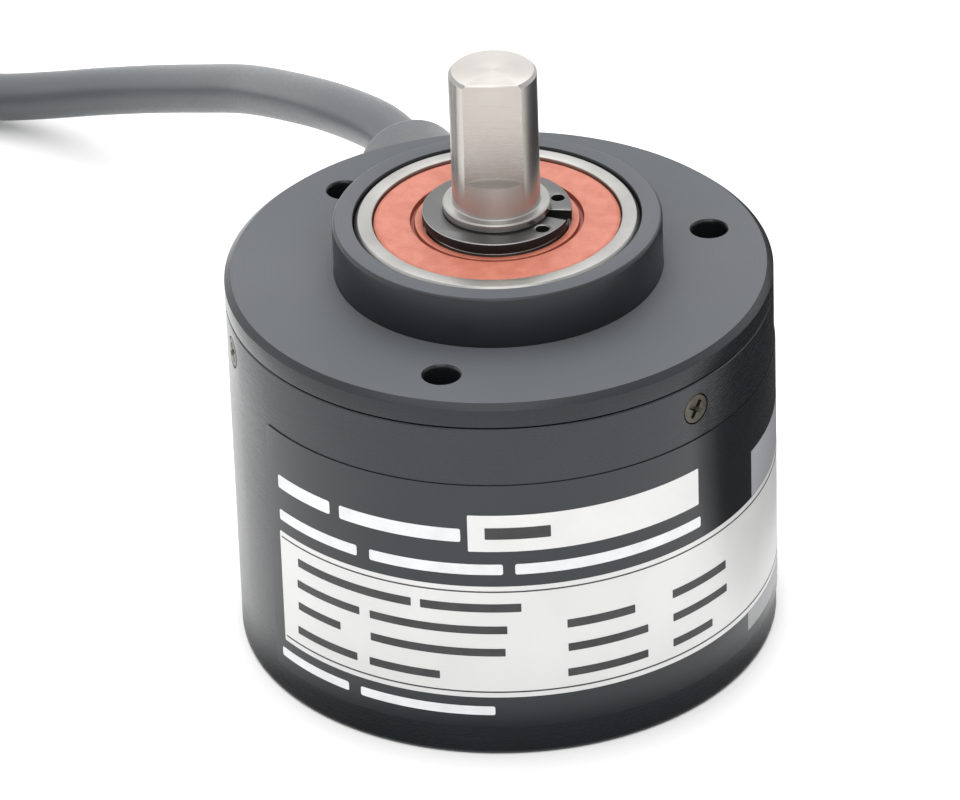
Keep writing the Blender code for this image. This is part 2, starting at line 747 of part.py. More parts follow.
def inner_ring_profile():
    half = BEARING_WIDTH / 2
    return [
        (BEARING_BORE_RADIUS + BEARING_CHAMFER, half),
        (INNER_LAND_RADIUS, half),
        *raceway(INNER_LAND_RADIUS, outwards=False),
        (INNER_LAND_RADIUS, -half),
        (BEARING_BORE_RADIUS + BEARING_CHAMFER, -half),
        (BEARING_BORE_RADIUS, -half + BEARING_CHAMFER),
        (BEARING_BORE_RADIUS, half - BEARING_CHAMFER),
    ]


def seal_profile():
    """Seal ring, its height counted outwards from the face that lies in the bearing."""
    inner = INNER_LAND_RADIUS + THIN_GAP
    outer = SEAL_SEAT_RADIUS - THIN_GAP
    return [
        (inner, SEAL_THICKNESS - SEAL_LIP_DEPTH),
        (inner + SEAL_LIP_WIDTH, SEAL_THICKNESS),
        (outer, SEAL_THICKNESS),
        (outer, 0),
        (inner, 0),
    ]


def make_ball_cage(shop, look, side, middle):
    half_width, half_height = CAGE_WIDTH / 2, CAGE_HEIGHT / 2
    section = ring_profile(PITCH_RADIUS - half_width, PITCH_RADIUS + half_width,
                           -half_height, half_height)
    cage = shop.turned(f"{side}_ball_cage", section, look, f"{side}_cage", 2 * BALL_COUNT)
    shape = bmesh.new()
    for i in range(BALL_COUNT):
        ball = bmesh.ops.create_uvsphere(shape, u_segments=8, v_segments=4, radius=BALL_RADIUS)
        bmesh.ops.translate(shape, vec=polar(PITCH_RADIUS, 360 / BALL_COUNT * i), verts=ball["verts"])
    balls = shop.helper(f"{side}_balls", mesh_from(f"{side}_balls", shape))
    cage.location.z = balls.location.z = middle
    join(cage, balls)
    bake(cage)


def make_bearing(shop, looks, side, top):
    middle = top - BEARING_WIDTH / 2
    steel = looks["bearing_steel"]
    outer = shop.turned(f"{side}_outer_ring", outer_ring_profile(), steel, "housing", RING_STEPS)
    inner = shop.turned(f"{side}_inner_ring", inner_ring_profile(), steel, "rotor", RING_STEPS)
    for ring in (outer, inner):
        ring.location.z = middle
        bake(ring)
    seat = BEARING_WIDTH / 2 - SEAL_SEAT_DEPTH + THIN_GAP
    for place, turn, offset in (("upper", 0, seat), ("lower", math.pi, -seat)):
        seal = shop.turned(f"{side}_{place}_seal", seal_profile(), looks["seal"], "housing", RING_STEPS)
        seal.location.z = middle + offset
        seal.rotation_euler.x = turn
        bake(seal)
    make_ball_cage(shop, steel, side, middle)


def make_wave_washer(shop, look):
    """A flat ring bent into waves that touch the lip and the rear bearing in turn."""
    half = WAVE_THICKNESS / 2
    section = ring_profile(WAVE_INNER_RADIUS, WAVE_OUTER_RADIUS, -half, half)
    washer = shop.turned("wave_washer", section, look, "housing", 12 * WAVE_COUNT)
    washer.location.z = (LIP_BASE + REAR_BEARING_TOP) / 2
    bake(washer)
    swing = (WAVE_SPACE - WAVE_THICKNESS) / 2 - THIN_GAP
    for vertex in washer.data.vertices:
        turn = math.atan2(vertex.co.y, vertex.co.x)
        vertex.co.z += swing * math.sin(WAVE_COUNT * turn)


def make_spacer(shop, look):
    section = ring_profile(BEARING_BORE_RADIUS, SPACER_RADIUS, REAR_BEARING_TOP + THIN_GAP,
                           FRONT_BEARING_BASE - THIN_GAP)
    bake(shop.turned("inner_spacer", section, look, "rotor", RING_STEPS))


# Shaft and what turns with it


def shaft_profile():
    tail = HUB_BASE
    return [
        (0, SHAFT_TOP),
        (SHAFT_RADIUS - SHAFT_CHAMFER, SHAFT_TOP),
        (SHAFT_RADIUS, SHAFT_TOP - SHAFT_CHAMFER),
        (SHAFT_RADIUS, STEP_TOP),
        (JOURNAL_RADIUS - STEP_CHAMFER, STEP_TOP),
        (JOURNAL_RADIUS, STEP_TOP - STEP_CHAMFER),
        (JOURNAL_RADIUS, CLIP_TOP + SEAT_GAP),
        (CLIP_GROOVE_RADIUS, CLIP_TOP + SEAT_GAP),
        (CLIP_GROOVE_RADIUS, CLIP_BASE - SEAT_GAP),
        (JOURNAL_RADIUS, CLIP_BASE - SEAT_GAP),
        (JOURNAL_RADIUS, SHOULDER_TOP),
        (SHOULDER_RADIUS, SHOULDER_TOP),
        (SHOULDER_RADIUS, SHOULDER_BASE),
        (TAIL_RADIUS, SHOULDER_BASE),
        (TAIL_RADIUS, tail + SHAFT_CHAMFER),
        (TAIL_RADIUS - SHAFT_CHAMFER, tail),
        (0, tail),
    ]


def make_shaft(shop, look):
    shaft = shop.turned("shaft", shaft_profile(), look, "rotor", RING_STEPS, closed=False)
    depth = SHAFT_RADIUS - FLAT_OFFSET + CUTTER_REACH
    height = FLAT_LENGTH + CUTTER_REACH
    tool = shop.box_cutter("shaft_flat", (depth, 2 * SHAFT_RADIUS + CUTTER_REACH, height))
    upright(tool, FLAT_ANGLE, FLAT_OFFSET + depth / 2, SHAFT_TOP - FLAT_LENGTH + height / 2)
    cut(shaft, tool)
    bake(shaft)


def make_retaining_ring(shop, look):
    middle = (CLIP_INNER_RADIUS + CLIP_OUTER_RADIUS) / 2
    start = CLIP_GAP_ANGLE / 2
    outline = arc(CLIP_OUTER_RADIUS, start, 360 - start, RING_STEPS)
    outline += arc(CLIP_INNER_RADIUS, 360 - start, start, RING_STEPS)
    holes = [
        circle(CLIP_HOLE_RADIUS, BORE_STEPS, polar(middle, side * CLIP_HOLE_ANGLE))
        for side in (-1, 1)
    ]
    ring = shop.plate("retaining_ring", [outline, *holes], CLIP_THICKNESS, look, "rotor")
    ring.location.z = (CLIP_BASE + CLIP_TOP) / 2


def make_hub(shop, looks):
    profile = [
        (TAIL_RADIUS + SEAT_GAP, HUB_TOP),
        (HUB_RADIUS, HUB_TOP),
        (HUB_RADIUS, HUB_FLANGE_TOP),
        (HUB_FLANGE_RADIUS, HUB_FLANGE_TOP),
        (HUB_FLANGE_RADIUS, HUB_FLANGE_BASE),
        (HUB_SPIGOT_RADIUS, HUB_FLANGE_BASE),
        (HUB_SPIGOT_RADIUS, HUB_BASE),
        (TAIL_RADIUS + SEAT_GAP, HUB_BASE),
    ]
    hub = shop.turned("disc_hub", profile, looks["aluminium"], "rotor", RING_STEPS)
    height = (HUB_TOP + HUB_FLANGE_TOP) / 2
    thread = rod_profile(SET_SCREW_RADIUS + SEAT_GAP, TAIL_RADIUS, HUB_RADIUS + CUTTER_REACH)
    tool = shop.turned_cutter("set_screw_thread", thread, BORE_STEPS)
    radial(tool, FLAT_ANGLE, 0, height)
    cut(hub, tool)
    bake(hub)
    start = TAIL_RADIUS + FACE_GAP
    screw = shop.turned("hub_set_screw", rod_profile(SET_SCREW_RADIUS, start, start + SET_SCREW_LENGTH),
                        looks["black_steel"], "rotor", BORE_STEPS, closed=False)
    radial(screw, FLAT_ANGLE, 0, height)
    bake(screw)


def make_code_disc(shop, look):
    section = ring_profile(HUB_SPIGOT_RADIUS + SEAT_GAP, DISC_RADIUS, DISC_BASE, DISC_TOP)
    bake(shop.turned("code_disc", section, look, "rotor", DISC_STEPS))


# Optics


def ear_places():
    """Screw places in the light bracket's two ears."""
    middle = polar(OPTIC_RADIUS, LED_ANGLE)
    along = polar(EAR_SPACING / 2, LED_ANGLE + 90)
    return [middle - along, middle + along]


def bracket_heights():
    return DISC_TOP + BRACKET_DISC_GAP, PLATE_BASE - FACE_GAP


def make_light_bracket(shop, looks):
    low, high = bracket_heights()
    block = (BRACKET_DEPTH, BRACKET_WIDTH, high - low)
    bracket = shop.box("led_bracket", block, looks["black_plastic"], "housing")
    upright(bracket, LED_ANGLE, OPTIC_RADIUS, (low + high) / 2)
    ears = shop.box_cutter("bracket_ears", (EAR_WIDTH, EAR_SPACING + EAR_WIDTH, EAR_THICKNESS))
    upright(ears, LED_ANGLE, OPTIC_RADIUS, high - EAR_THICKNESS / 2)
    join(bracket, ears)
    bore = rod_profile(LED_BORE_RADIUS, low - CUTTER_REACH, high + CUTTER_REACH)
    tool = shop.turned_cutter("led_bore", bore, SMALL_STEPS)
    upright(tool, LED_ANGLE, OPTIC_RADIUS, 0)
    cut(bracket, tool)
    ear_base = high - EAR_THICKNESS
    hole = rod_profile(PAN_SHANK_RADIUS + SEAT_GAP, ear_base - CUTTER_REACH, high + CUTTER_REACH)
    for i, place in enumerate(ear_places(), 1):
        tool = shop.turned_cutter(f"ear_hole_{i}", hole, BORE_STEPS)
        tool.location = place
        cut(bracket, tool)
    bake(bracket)
    for i, place in enumerate(ear_places(), 1):
        make_pan_screw(shop, f"led_bracket_screw_{i}", looks["steel"],
                       (place.x, place.y, ear_base - FACE_GAP), EAR_THICKNESS)


def dome(radius, base, rise, steps):
    """Points of a round cap, from its tip to its edge."""
    ball = (radius**2 + rise**2) / (2 * rise)
    edge = math.degrees(math.asin(radius / ball))
    return arc(ball, 90, 90 - edge, steps, (0, base + rise - ball))


def make_light(shop, looks):
    low, high = bracket_heights()
    lens_radius = LED_BORE_RADIUS - SEAT_GAP
    lens_edge = low + LENS_EDGE_HEIGHT
    lens = shop.turned("collimator_lens", [
        *dome(lens_radius, lens_edge, LENS_RISE, 2),
        (lens_radius, low),
        (0, low),
    ], looks["clear"], "housing", SMALL_STEPS, closed=False)
    tip = lens_edge + LENS_RISE + LENS_LED_GAP
    rear = tip + LED_LENGTH
    led = shop.turned("led_emitter", [
        (0, rear),
        (LED_FLANGE_RADIUS, rear),
        (LED_FLANGE_RADIUS, rear - LED_FLANGE_THICKNESS),
        (LED_RADIUS, rear - LED_FLANGE_THICKNESS),
        *arc(LED_RADIUS, 0, -90, 3, (0, tip + LED_RADIUS)),
    ], looks["clear"], "housing", SMALL_STEPS, closed=False)
    for piece in (lens, led):
        upright(piece, LED_ANGLE, OPTIC_RADIUS, 0)
        bake(piece)


def make_flex(shop, look):
    low = BOARD_TOP + FACE_GAP
    high = bracket_heights()[1] - FLEX_TOP_DROP
    strip = shop.box("emitter_flex", (FLEX_THICKNESS, FLEX_WIDTH, high - low), look, "housing")
    face = OPTIC_RADIUS + BRACKET_DEPTH / 2 + FACE_GAP
    upright(strip, LED_ANGLE, face + FLEX_THICKNESS / 2, (low + high) / 2)


def make_sensor(shop, looks):
    size = (BRACKET_DEPTH, MASK_WIDTH, MASK_THICKNESS)
    mask = shop.box("slit_mask", size, looks["chrome_glass"], "housing")
    upright(mask, LED_ANGLE, OPTIC_RADIUS, MASK_TOP - MASK_THICKNESS / 2)
    size = (BRACKET_DEPTH, SENSOR_WIDTH, SENSOR_HEIGHT)
    sensor = shop.box("photodiode_array", size, looks["black_plastic"], "housing")
    upright(sensor, LED_ANGLE, OPTIC_RADIUS, SENSOR_TOP - SENSOR_HEIGHT / 2)


# Board


def make_pan_screw(shop, name, look, place, clamped):
    """A pan-head screw that points up from its head's face, through a clamped thickness."""
    length = clamped + 2 * FACE_GAP + PAN_GRIP
    screw = shop.turned(name, [
        (0, length),
        (PAN_SHANK_RADIUS, length),
        (PAN_SHANK_RADIUS, 0),
        (PAN_HEAD_RADIUS, 0),
        (PAN_HEAD_RADIUS, -PAN_HEAD_HEIGHT),
        (0, -PAN_HEAD_HEIGHT),
    ], look, "housing", BORE_STEPS, closed=False)
    screw.location = place

    def at_head(tool):
        tool.location = (place[0], place[1], place[2] - PAN_HEAD_HEIGHT)

    cut_cross(shop, screw, name, PAN_HEAD_RADIUS, at_head)
    bake(screw)


def make_standoffs(shop, looks):
    low, high = BOARD_TOP + FACE_GAP, PLATE_BASE - FACE_GAP
    hexagon = rod_profile(STANDOFF_WIDTH / math.sqrt(3), low, high)
    stud_shape = rod_profile(STUD_RADIUS, high - CUTTER_REACH, PLATE_BASE + STUD_LENGTH)
    bore_shape = rod_profile(PAN_SHANK_RADIUS + SEAT_GAP, low - CUTTER_REACH, low + PAN_GRIP + FACE_GAP)
    for i, angle in enumerate(STANDOFF_ANGLES, 1):
        post = shop.turned(f"board_standoff_{i}", hexagon, looks["brass"], "housing", 6, closed=False)
        stud = shop.turned_cutter(f"standoff_stud_{i}", stud_shape, BORE_STEPS)
        bore = shop.turned_cutter(f"standoff_bore_{i}", bore_shape, BORE_STEPS)
        for piece in (post, stud, bore):
            piece.location = polar(STANDOFF_CIRCLE_RADIUS, angle)
            piece.rotation_euler.z = math.radians(angle + 30)
        join(post, stud)
        cut(post, bore)
        bake(post)
        head = polar(STANDOFF_CIRCLE_RADIUS, angle, BOARD_BASE - FACE_GAP)
        make_pan_screw(shop, f"board_screw_{i}", looks["steel"], head, BOARD_THICKNESS)


def make_board(shop, looks):
    outline = circle(BOARD_RADIUS, BODY_STEPS)
    holes = [
        circle(PAN_SHANK_RADIUS + SEAT_GAP, BORE_STEPS, polar(STANDOFF_CIRCLE_RADIUS, angle))
        for angle in STANDOFF_ANGLES
    ]
    board = shop.plate("main_board", [outline, *holes], BOARD_THICKNESS, looks["board"], "housing")
    board.location.z = (BOARD_BASE + BOARD_TOP) / 2
    chip = shop.box("signal_chip", (*CHIP_SIZE, CHIP_HEIGHT), looks["black_plastic"], "housing")
    chip.location.z = BOARD_BASE - THIN_GAP - CHIP_HEIGHT / 2
    size = (*TERMINAL_SIZE, TERMINAL_HEIGHT)
    terminal = shop.box("wire_terminal", size, looks["white_plastic"], "housing")
    upright(terminal, GLAND_ANGLE, TERMINAL_RADIUS, BOARD_TOP + THIN_GAP + TERMINAL_HEIGHT / 2)


# Cable


def make_gland(shop, look):
    bore = CABLE_RADIUS + SEAT_GAP
    outside = BODY_RADIUS + FACE_GAP
    inside = math.sqrt(COVER_INNER_RADIUS**2 - GLAND_FLANGE_RADIUS**2) - FACE_GAP
    middle = (COVER_INNER_RADIUS + BODY_RADIUS) / 2
    edge = (GLAND_RADIUS - GLAND_EDGE_RADIUS, GLAND_END - GLAND_EDGE_RADIUS)
    gland = shop.turned("cable_gland", [
        (bore, GLAND_END),
        *arc(GLAND_EDGE_RADIUS, 90, 0, 3, edge),
        (GLAND_RADIUS, outside + GLAND_COLLAR_THICKNESS),
        (GLAND_COLLAR_RADIUS, outside + GLAND_COLLAR_THICKNESS),
        (GLAND_COLLAR_RADIUS, middle),
        (GLAND_FLANGE_RADIUS, middle),
        (GLAND_FLANGE_RADIUS, inside - GLAND_FLANGE_THICKNESS),
        (bore, inside - GLAND_FLANGE_THICKNESS),
    ], look, "housing", SMALL_STEPS)
    radial(gland, GLAND_ANGLE, 0, GLAND_HEIGHT)
    reach = GLAND_COLLAR_RADIUS + CUTTER_REACH
    section = ring_profile(COVER_INNER_RADIUS - FACE_GAP, outside,
                           GLAND_HEIGHT - reach, GLAND_HEIGHT + reach)
    wall = shop.turned_cutter("gland_wall", section, BODY_STEPS, closed=True)
    neck = rod_profile(GLAND_NECK_RADIUS, COVER_INNER_RADIUS - CUTTER_REACH, BODY_RADIUS + CUTTER_REACH)
    tool = shop.turned_cutter("gland_neck", neck, SMALL_STEPS)
    radial(tool, GLAND_ANGLE, 0, GLAND_HEIGHT)
    cut(wall, tool)
    cut(gland, wall)
    bake(gland)


def make_inner_cable(shop, looks):
    cable = shop.turned("cable_inner_end", rod_profile(CABLE_RADIUS, CABLE_INNER_END, GLAND_END),
                        looks["cable"], "housing", SMALL_STEPS, closed=False)
    start = CABLE_INNER_END + FACE_GAP
    inner = CABLE_RADIUS + SEAT_GAP
    section = ring_profile(inner, inner + FERRULE_WALL, start, start + FERRULE_LENGTH)
    ferrule = shop.turned("cable_ferrule", section, looks["steel"], "housing", SMALL_STEPS)
    for piece in (cable, ferrule):
        radial(piece, GLAND_ANGLE, 0, GLAND_HEIGHT)
        bake(piece)


def inner_wire_route(row):
    """A wire from the cable's inner end, in past the disc's edge and down to its terminal."""
    end = CABLE_INNER_END - FACE_GAP
    low = BOARD_TOP + THIN_GAP + TERMINAL_HEIGHT + FACE_GAP
    turn = (SLEEVE_RADIUS + end) / 2
    knee = GLAND_HEIGHT - (end - turn)
    foot = low + TERMINAL_RADIUS - turn
    pitch = (INNER_WIRE_PITCH + TERMINAL_PITCH) / 2
    legs = (
        (end, GLAND_HEIGHT, INNER_WIRE_PITCH),
        (end - 2 * INNER_WIRE_RADIUS, GLAND_HEIGHT, INNER_WIRE_PITCH),
        (turn, knee, INNER_WIRE_PITCH),
        ((turn + TERMINAL_RADIUS) / 2, (knee + foot) / 2, pitch),
        (TERMINAL_RADIUS, foot, TERMINAL_PITCH),
        (TERMINAL_RADIUS, low, TERMINAL_PITCH),
    )
    across = polar(1, GLAND_ANGLE + 90)
    return [polar(out, GLAND_ANGLE, height) + row * gap * across for out, height, gap in legs]


def make_inner_wires(shop, looks):
    for i in range(INNER_WIRE_COUNT):
        route = inner_wire_route(i - (INNER_WIRE_COUNT - 1) / 2)
        shop.tube(f"inner_wire_{i + 1}", smooth_route(route, INNER_WIRE_STEPS), INNER_WIRE_RADIUS,
                  looks[f"wire_{i + 1}"], "housing", bevel_resolution=1)


def coil_low():
    """Height of the lower layer's middle, which rests on the strap."""
    return TIE_FLOOR_GAP + TIE_THICKNESS + FACE_GAP + CABLE_RADIUS


def coil_radius(turns):
    inner = COIL_OUTER_RADIUS - COIL_PITCH * COIL_TURNS / 2
    return inner + COIL_PITCH * abs(turns - COIL_TURNS / 2)


def coil_height(turns):
    share = (turns - COIL_TURNS / 2) / COIL_CLIMB_TURNS + 0.5
    share = min(max(share, 0), 1)
    return coil_low() + COIL_PITCH * share * share * (3 - 2 * share)


def coil_point(turns):
    angle = COIL_START_ANGLE + 360 * turns
    return Vector((*COIL_CENTRE, 0)) + polar(coil_radius(turns), angle, coil_height(turns))


def coil_heading(turns):
    return polar(1, COIL_START_ANGLE + 360 * turns + 90)


def coil_route():
    """The coil's points, with a straight run of one cable diameter at each end."""
    count = round(COIL_TURNS * COIL_POINTS_PER_TURN)
    turns = [COIL_TURNS * i / count for i in range(count + 1)]
    run = 2 * CABLE_RADIUS
    first, last = coil_point(0), coil_point(COIL_TURNS)
    return [first - run * coil_heading(0), *map(coil_point, turns), last + run * coil_heading(COIL_TURNS)]


def least_gap(points, diameter):
    """Least gap between stretches of a tube that aren't next to each other along it."""
    fine = np.concatenate([np.linspace(a, b, 6, endpoint=False) for a, b in zip(points, points[1:])])
    step = np.linalg.norm(fine[1] - fine[0])
    apart = int(3 * diameter / step)
    least = min(np.linalg.norm(fine[i + apart:] - fine[i], axis=1).min() for i in range(len(fine) - apart))
    return least - diameter


def make_cable(shop, looks):
    route = coil_route()
    shop.tube("cable_coil", route, CABLE_RADIUS, looks["cable"], "housing", bevel_resolution=1)
    gap = least_gap([np.array(p) for p in route], 2 * CABLE_RADIUS)
    print(f"cable_coil: least gap to itself {gap * 1000:.2f} mm")
    start = polar(GLAND_END + FACE_GAP, GLAND_ANGLE, GLAND_HEIGHT)
    end = route[0] - FACE_GAP * coil_heading(0)
    before_end = end - 2 * CABLE_RADIUS * coil_heading(0)
    free = smooth_route([start, *CABLE_ROUTE, before_end, end], CABLE_STEPS)
    shop.tube("cable_lead", free, CABLE_RADIUS, looks["cable"], "housing")


def rounded_box(left, right, low, high, radius):
    corners = (
        (right - radius, high - radius, 0),
        (left + radius, high - radius, 90),
        (left + radius, low + radius, 180),
        (right - radius, low + radius, 270),
    )
    outline = []
    for x, y, start in corners:
        outline += arc(radius, start, start + 90, 4, (x, y))
    return outline


def make_coil_tie(shop, look):
    turns = TIE_ANGLE / 360
    inner = coil_radius(turns + math.floor(COIL_TURNS / 2)) - CABLE_RADIUS - FACE_GAP
    outer = coil_radius(turns) + CABLE_RADIUS + FACE_GAP
    low = coil_low() - CABLE_RADIUS - FACE_GAP
    high = coil_low() + COIL_PITCH + CABLE_RADIUS + FACE_GAP
    hole = rounded_box(inner, outer, low, high, TIE_CORNER_RADIUS)
    wall = TIE_THICKNESS
    band = rounded_box(inner - wall, outer + wall, low - wall, high + wall, TIE_CORNER_RADIUS + wall)
    tie = shop.plate("coil_tie", [band, hole], TIE_WIDTH, look, "housing")
    tie.location = (*COIL_CENTRE, 0)
    tie.rotation_euler = (math.pi / 2, 0, math.radians(COIL_START_ANGLE + TIE_ANGLE))


def lead_route(column, row, place):
    """A stripped lead that leaves the cable's far end, drops to the floor and fans out."""
    origin = coil_route()[-1]
    heading = coil_heading(COIL_TURNS)
    across = Vector((-heading.y, heading.x, 0))
    floor = LEAD_RADIUS + LEAD_FLOOR_GAP
    points = []
    for along, drop, spread in LEAD_ROUTE:
        side = (1 - spread) * column * LEAD_PITCH + spread * place * LEAD_SPREAD
        height = (1 - drop) * (origin.z + row * LEAD_PITCH / 2) + drop * floor
        point = origin + heading * (FACE_GAP + along) + across * side
        points.append(Vector((point.x, point.y, height)))
    return points


def make_leads(shop, looks):
    middle = (len(LEAD_COLUMNS) - 1) / 2
    for i, (column, row) in enumerate(zip(LEAD_COLUMNS, LEAD_ROWS)):
        route = smooth_route(lead_route(column, row, i - middle), LEAD_STEPS)
        shop.tube(f"lead_wire_{i + 1}", route, LEAD_RADIUS, looks[f"wire_{i + 1}"], "housing",
                  bevel_resolution=1)


def make_looks():
    return {
        "black_paint": finish("black_paint", (0.045, 0.048, 0.052), 0.45, 0.2),
        "steel": finish("steel", (0.45, 0.43, 0.40), 0.35, 1.0),
        "stainless": finish("stainless", (0.58, 0.55, 0.52), 0.3, 1.0),
        "bearing_steel": finish("bearing_steel", (0.65, 0.64, 0.62), 0.25, 1.0),
        "black_steel": finish("black_steel", (0.06, 0.06, 0.065), 0.4, 0.8),
        "spring_steel": finish("spring_steel", (0.40, 0.38, 0.35), 0.3, 1.0),
        "seal": finish("seal", (0.72, 0.20, 0.12), 0.55),
        "rubber": finish("rubber", (0.02, 0.02, 0.02), 0.7),
        "label": finish("label", (0.03, 0.03, 0.033), 0.4),
        "aluminium": finish("aluminium", (0.70, 0.70, 0.71), 0.4, 1.0),
        "glass": finish("glass", (0.75, 0.85, 0.86), 0.05),
        "chrome_glass": finish("chrome_glass", (0.35, 0.37, 0.40), 0.1, 0.6),
        "clear": finish("clear", (0.85, 0.85, 0.82), 0.08),
        "black_plastic": finish("black_plastic", (0.02, 0.02, 0.022), 0.5),
        "white_plastic": finish("white_plastic", (0.80, 0.78, 0.72), 0.5),
        "amber": finish("amber", (0.55, 0.25, 0.05), 0.35),
        "board": finish("board", (0.02, 0.14, 0.06), 0.45),
        "brass": finish("brass", (0.68, 0.50, 0.22), 0.3, 1.0),
        "cable": finish("cable", (0.09, 0.095, 0.10), 0.55),
        "tie": finish("tie", (0.03, 0.03, 0.03), 0.6),
        "wire_1": finish("wire_1", (0.18, 0.07, 0.03), 0.5),
        "wire_2": finish("wire_2", (0.015, 0.015, 0.015), 0.5),
        "wire_3": finish("wire_3", (0.80, 0.80, 0.78), 0.5),
        "wire_4": finish("wire_4", (0.80, 0.25, 0.03), 0.5),
        "wire_5": finish("wire_5", (0.03, 0.10, 0.45), 0.5),
        "wire_6": finish("wire_6", (0.10, 0.25, 0.08), 0.5),
    }


def main():
    clear_scene()
    shop = Workshop()
    looks = make_looks()
    make_flange(shop, looks["black_paint"])
    make_cartridge(shop, looks["black_paint"])
    make_cover(shop, looks["black_paint"])
    make_o_ring(shop, looks["rubber"])
    make_cover_screws(shop, looks["steel"])
    make_label(shop, looks["label"])
    make_bearing(shop, looks, "front", FRONT_BEARING_TOP)
    make_bearing(shop, looks, "rear", REAR_BEARING_TOP)
    make_wave_washer(shop, looks["spring_steel"])
    make_spacer(shop, looks["steel"])
    make_shaft(shop, looks["stainless"])
    make_retaining_ring(shop, looks["black_steel"])
    make_hub(shop, looks)
    make_code_disc(shop, looks["glass"])
    make_light_bracket(shop, looks)
    make_light(shop, looks)
    make_flex(shop, looks["amber"])
    make_sensor(shop, looks)
    make_board(shop, looks)
    make_standoffs(shop, looks)
    make_gland(shop, looks["rubber"])
    make_inner_cable(shop, looks)
    make_inner_wires(shop, looks)
    make_cable(shop, looks)
    make_coil_tie(shop, looks["tie"])
    make_leads(shop, looks)


main()
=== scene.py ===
"""Looks of a shaft-type rotary encoder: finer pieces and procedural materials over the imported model,
with its cable, floor, light and camera. The scene is in metres, with +Z along the shaft."""

import json
import math

import bmesh
import bpy
import numpy as np
from mathutils import Matrix, Quaternion, Vector


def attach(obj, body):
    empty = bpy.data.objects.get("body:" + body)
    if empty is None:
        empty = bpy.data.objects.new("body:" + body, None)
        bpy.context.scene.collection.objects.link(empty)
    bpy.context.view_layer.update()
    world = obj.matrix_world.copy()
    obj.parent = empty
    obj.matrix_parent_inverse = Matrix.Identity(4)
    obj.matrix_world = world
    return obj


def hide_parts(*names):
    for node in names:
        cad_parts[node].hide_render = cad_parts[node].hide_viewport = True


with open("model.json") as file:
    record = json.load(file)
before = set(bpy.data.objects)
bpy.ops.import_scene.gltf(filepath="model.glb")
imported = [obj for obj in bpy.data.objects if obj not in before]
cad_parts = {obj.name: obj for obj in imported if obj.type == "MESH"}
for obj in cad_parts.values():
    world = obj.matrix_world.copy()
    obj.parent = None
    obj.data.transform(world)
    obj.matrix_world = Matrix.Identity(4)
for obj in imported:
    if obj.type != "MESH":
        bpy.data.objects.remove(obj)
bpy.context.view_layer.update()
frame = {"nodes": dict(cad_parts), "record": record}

MM = 0.001

# Camera, in metres and degrees, from a fit to the photograph's frame of 960 x 800
CAMERA_PLACE = Vector((0.14510, -0.52080, 0.35333))
CAMERA_AIM = Vector((-0.00232, 0.00048, 0.02177))
CAMERA_ROLL = -1.938
CAMERA_LENS = 258.26
SENSOR_WIDTH = 36.0
VIEW_END = 20.0

# Soft boxes: place as right, ahead and up in metres, width and length in metres, power in watts
SOFT_BOXES = {
    "back_soft_box": ((0.02, 0.60, 0.95), (0.8, 0.8), 4.0),
    "top_soft_box": ((-0.10, -0.15, 1.05), (0.8, 0.8), 2.0),
    "left_soft_box": ((-0.90, 0.05, 0.30), (0.7, 0.6), 0.5),
    "front_soft_box": ((0.05, -0.80, 0.75), (0.8, 0.5), 2.3),
}
LIGHT_AIM = Vector((0.0, 0.0, 0.02))

# Floor and room: the way to the bright side, and the strengths of the world across it
FLOOR_RADIUS = 6.0
FLOOR_STEPS = 64
ROOM_BRIGHT_WAY = (-0.2, 0.7, 0.7)
ROOM_RAMP = {"From Min": -0.4, "From Max": 0.6, "To Min": 0.80, "To Max": 1.35}

# Dark looks of the cards, painted shade seen in reflections: black for a shaded floor on the right, grey
# for the contact shadow round the foot; tone, middle as right, ahead and up, distances where it starts
# and ends to fade
DARK_CARD_LOOKS = {
    "black_card": ((0.035, 0.035, 0.037), (0.0494, 0.0285, 0.0), (0.038, 0.050)),
    "grey_card": ((0.16, 0.16, 0.165), (0.0, -0.0055, 0.0), (0.0235, 0.0275)),
}
CARD_PALE = (0.90, 0.90, 0.895)

# Cards seen only in reflections, painted reflections of shade and of light: look, radius and height of
# both edges, angles from the camera to its right
CARD_RADIUS = 0.057
CARD_GAP = 0.0003
FLOOR_CARD_START = 0.0340
CARDS = {
    "right_card": ("black_card", ((CARD_RADIUS, CARD_GAP), (CARD_RADIUS, 0.050)), (70.0, 172.0)),
    "right_floor_card": (
        "black_card", ((FLOOR_CARD_START, CARD_GAP), (CARD_RADIUS, CARD_GAP)), (70.0, 180.0)),
    "left_card": ("white_card", ((CARD_RADIUS, CARD_GAP), (CARD_RADIUS, 0.020)), (-175.0, -95.0)),
    "foot_card": ("grey_card", ((0.02505, CARD_GAP), (FLOOR_CARD_START, CARD_GAP)), (-110.0, 110.0)),
}
CARD_STEPS = 48

# Body, in millimetres and degrees
BODY_RADIUS = 25.0
MOUNT_FACE = 37.0
BOSS_RADIUS = 15.0
BOSS_TOP = 42.0
COVER_TOP = 34.6
HOLE_ANGLES = (-90.0, 30.0, 150.0)
HOLE_CIRCLE_RADIUS = 20.0
SCREW_ANGLES = (-31.0, 89.0, 209.0)
SCREW_HEIGHT = 31.9
PLATE_BASE = 29.8

# Cable and its bush, in millimetres and degrees
GLAND_ANGLE = 119.0
GLAND_HEIGHT = 28.0
GLAND_END = 36.0
CABLE_RADIUS = 2.5
FACE_GAP = 0.3

# Facets round a full turn
BODY_STEPS = 192
RING_STEPS = 128
SMALL_STEPS = 48
SHARP_ANGLE = math.radians(35)

# Upward share of a face's normal: above the first it lies flat, below the second it is a wall
FLAT_NORMAL = 0.9
WALL_NORMAL = 0.3


def polar(radius, angle, height=0.0):
    turn = math.radians(angle)
    return Vector((radius * math.cos(turn), radius * math.sin(turn), height))


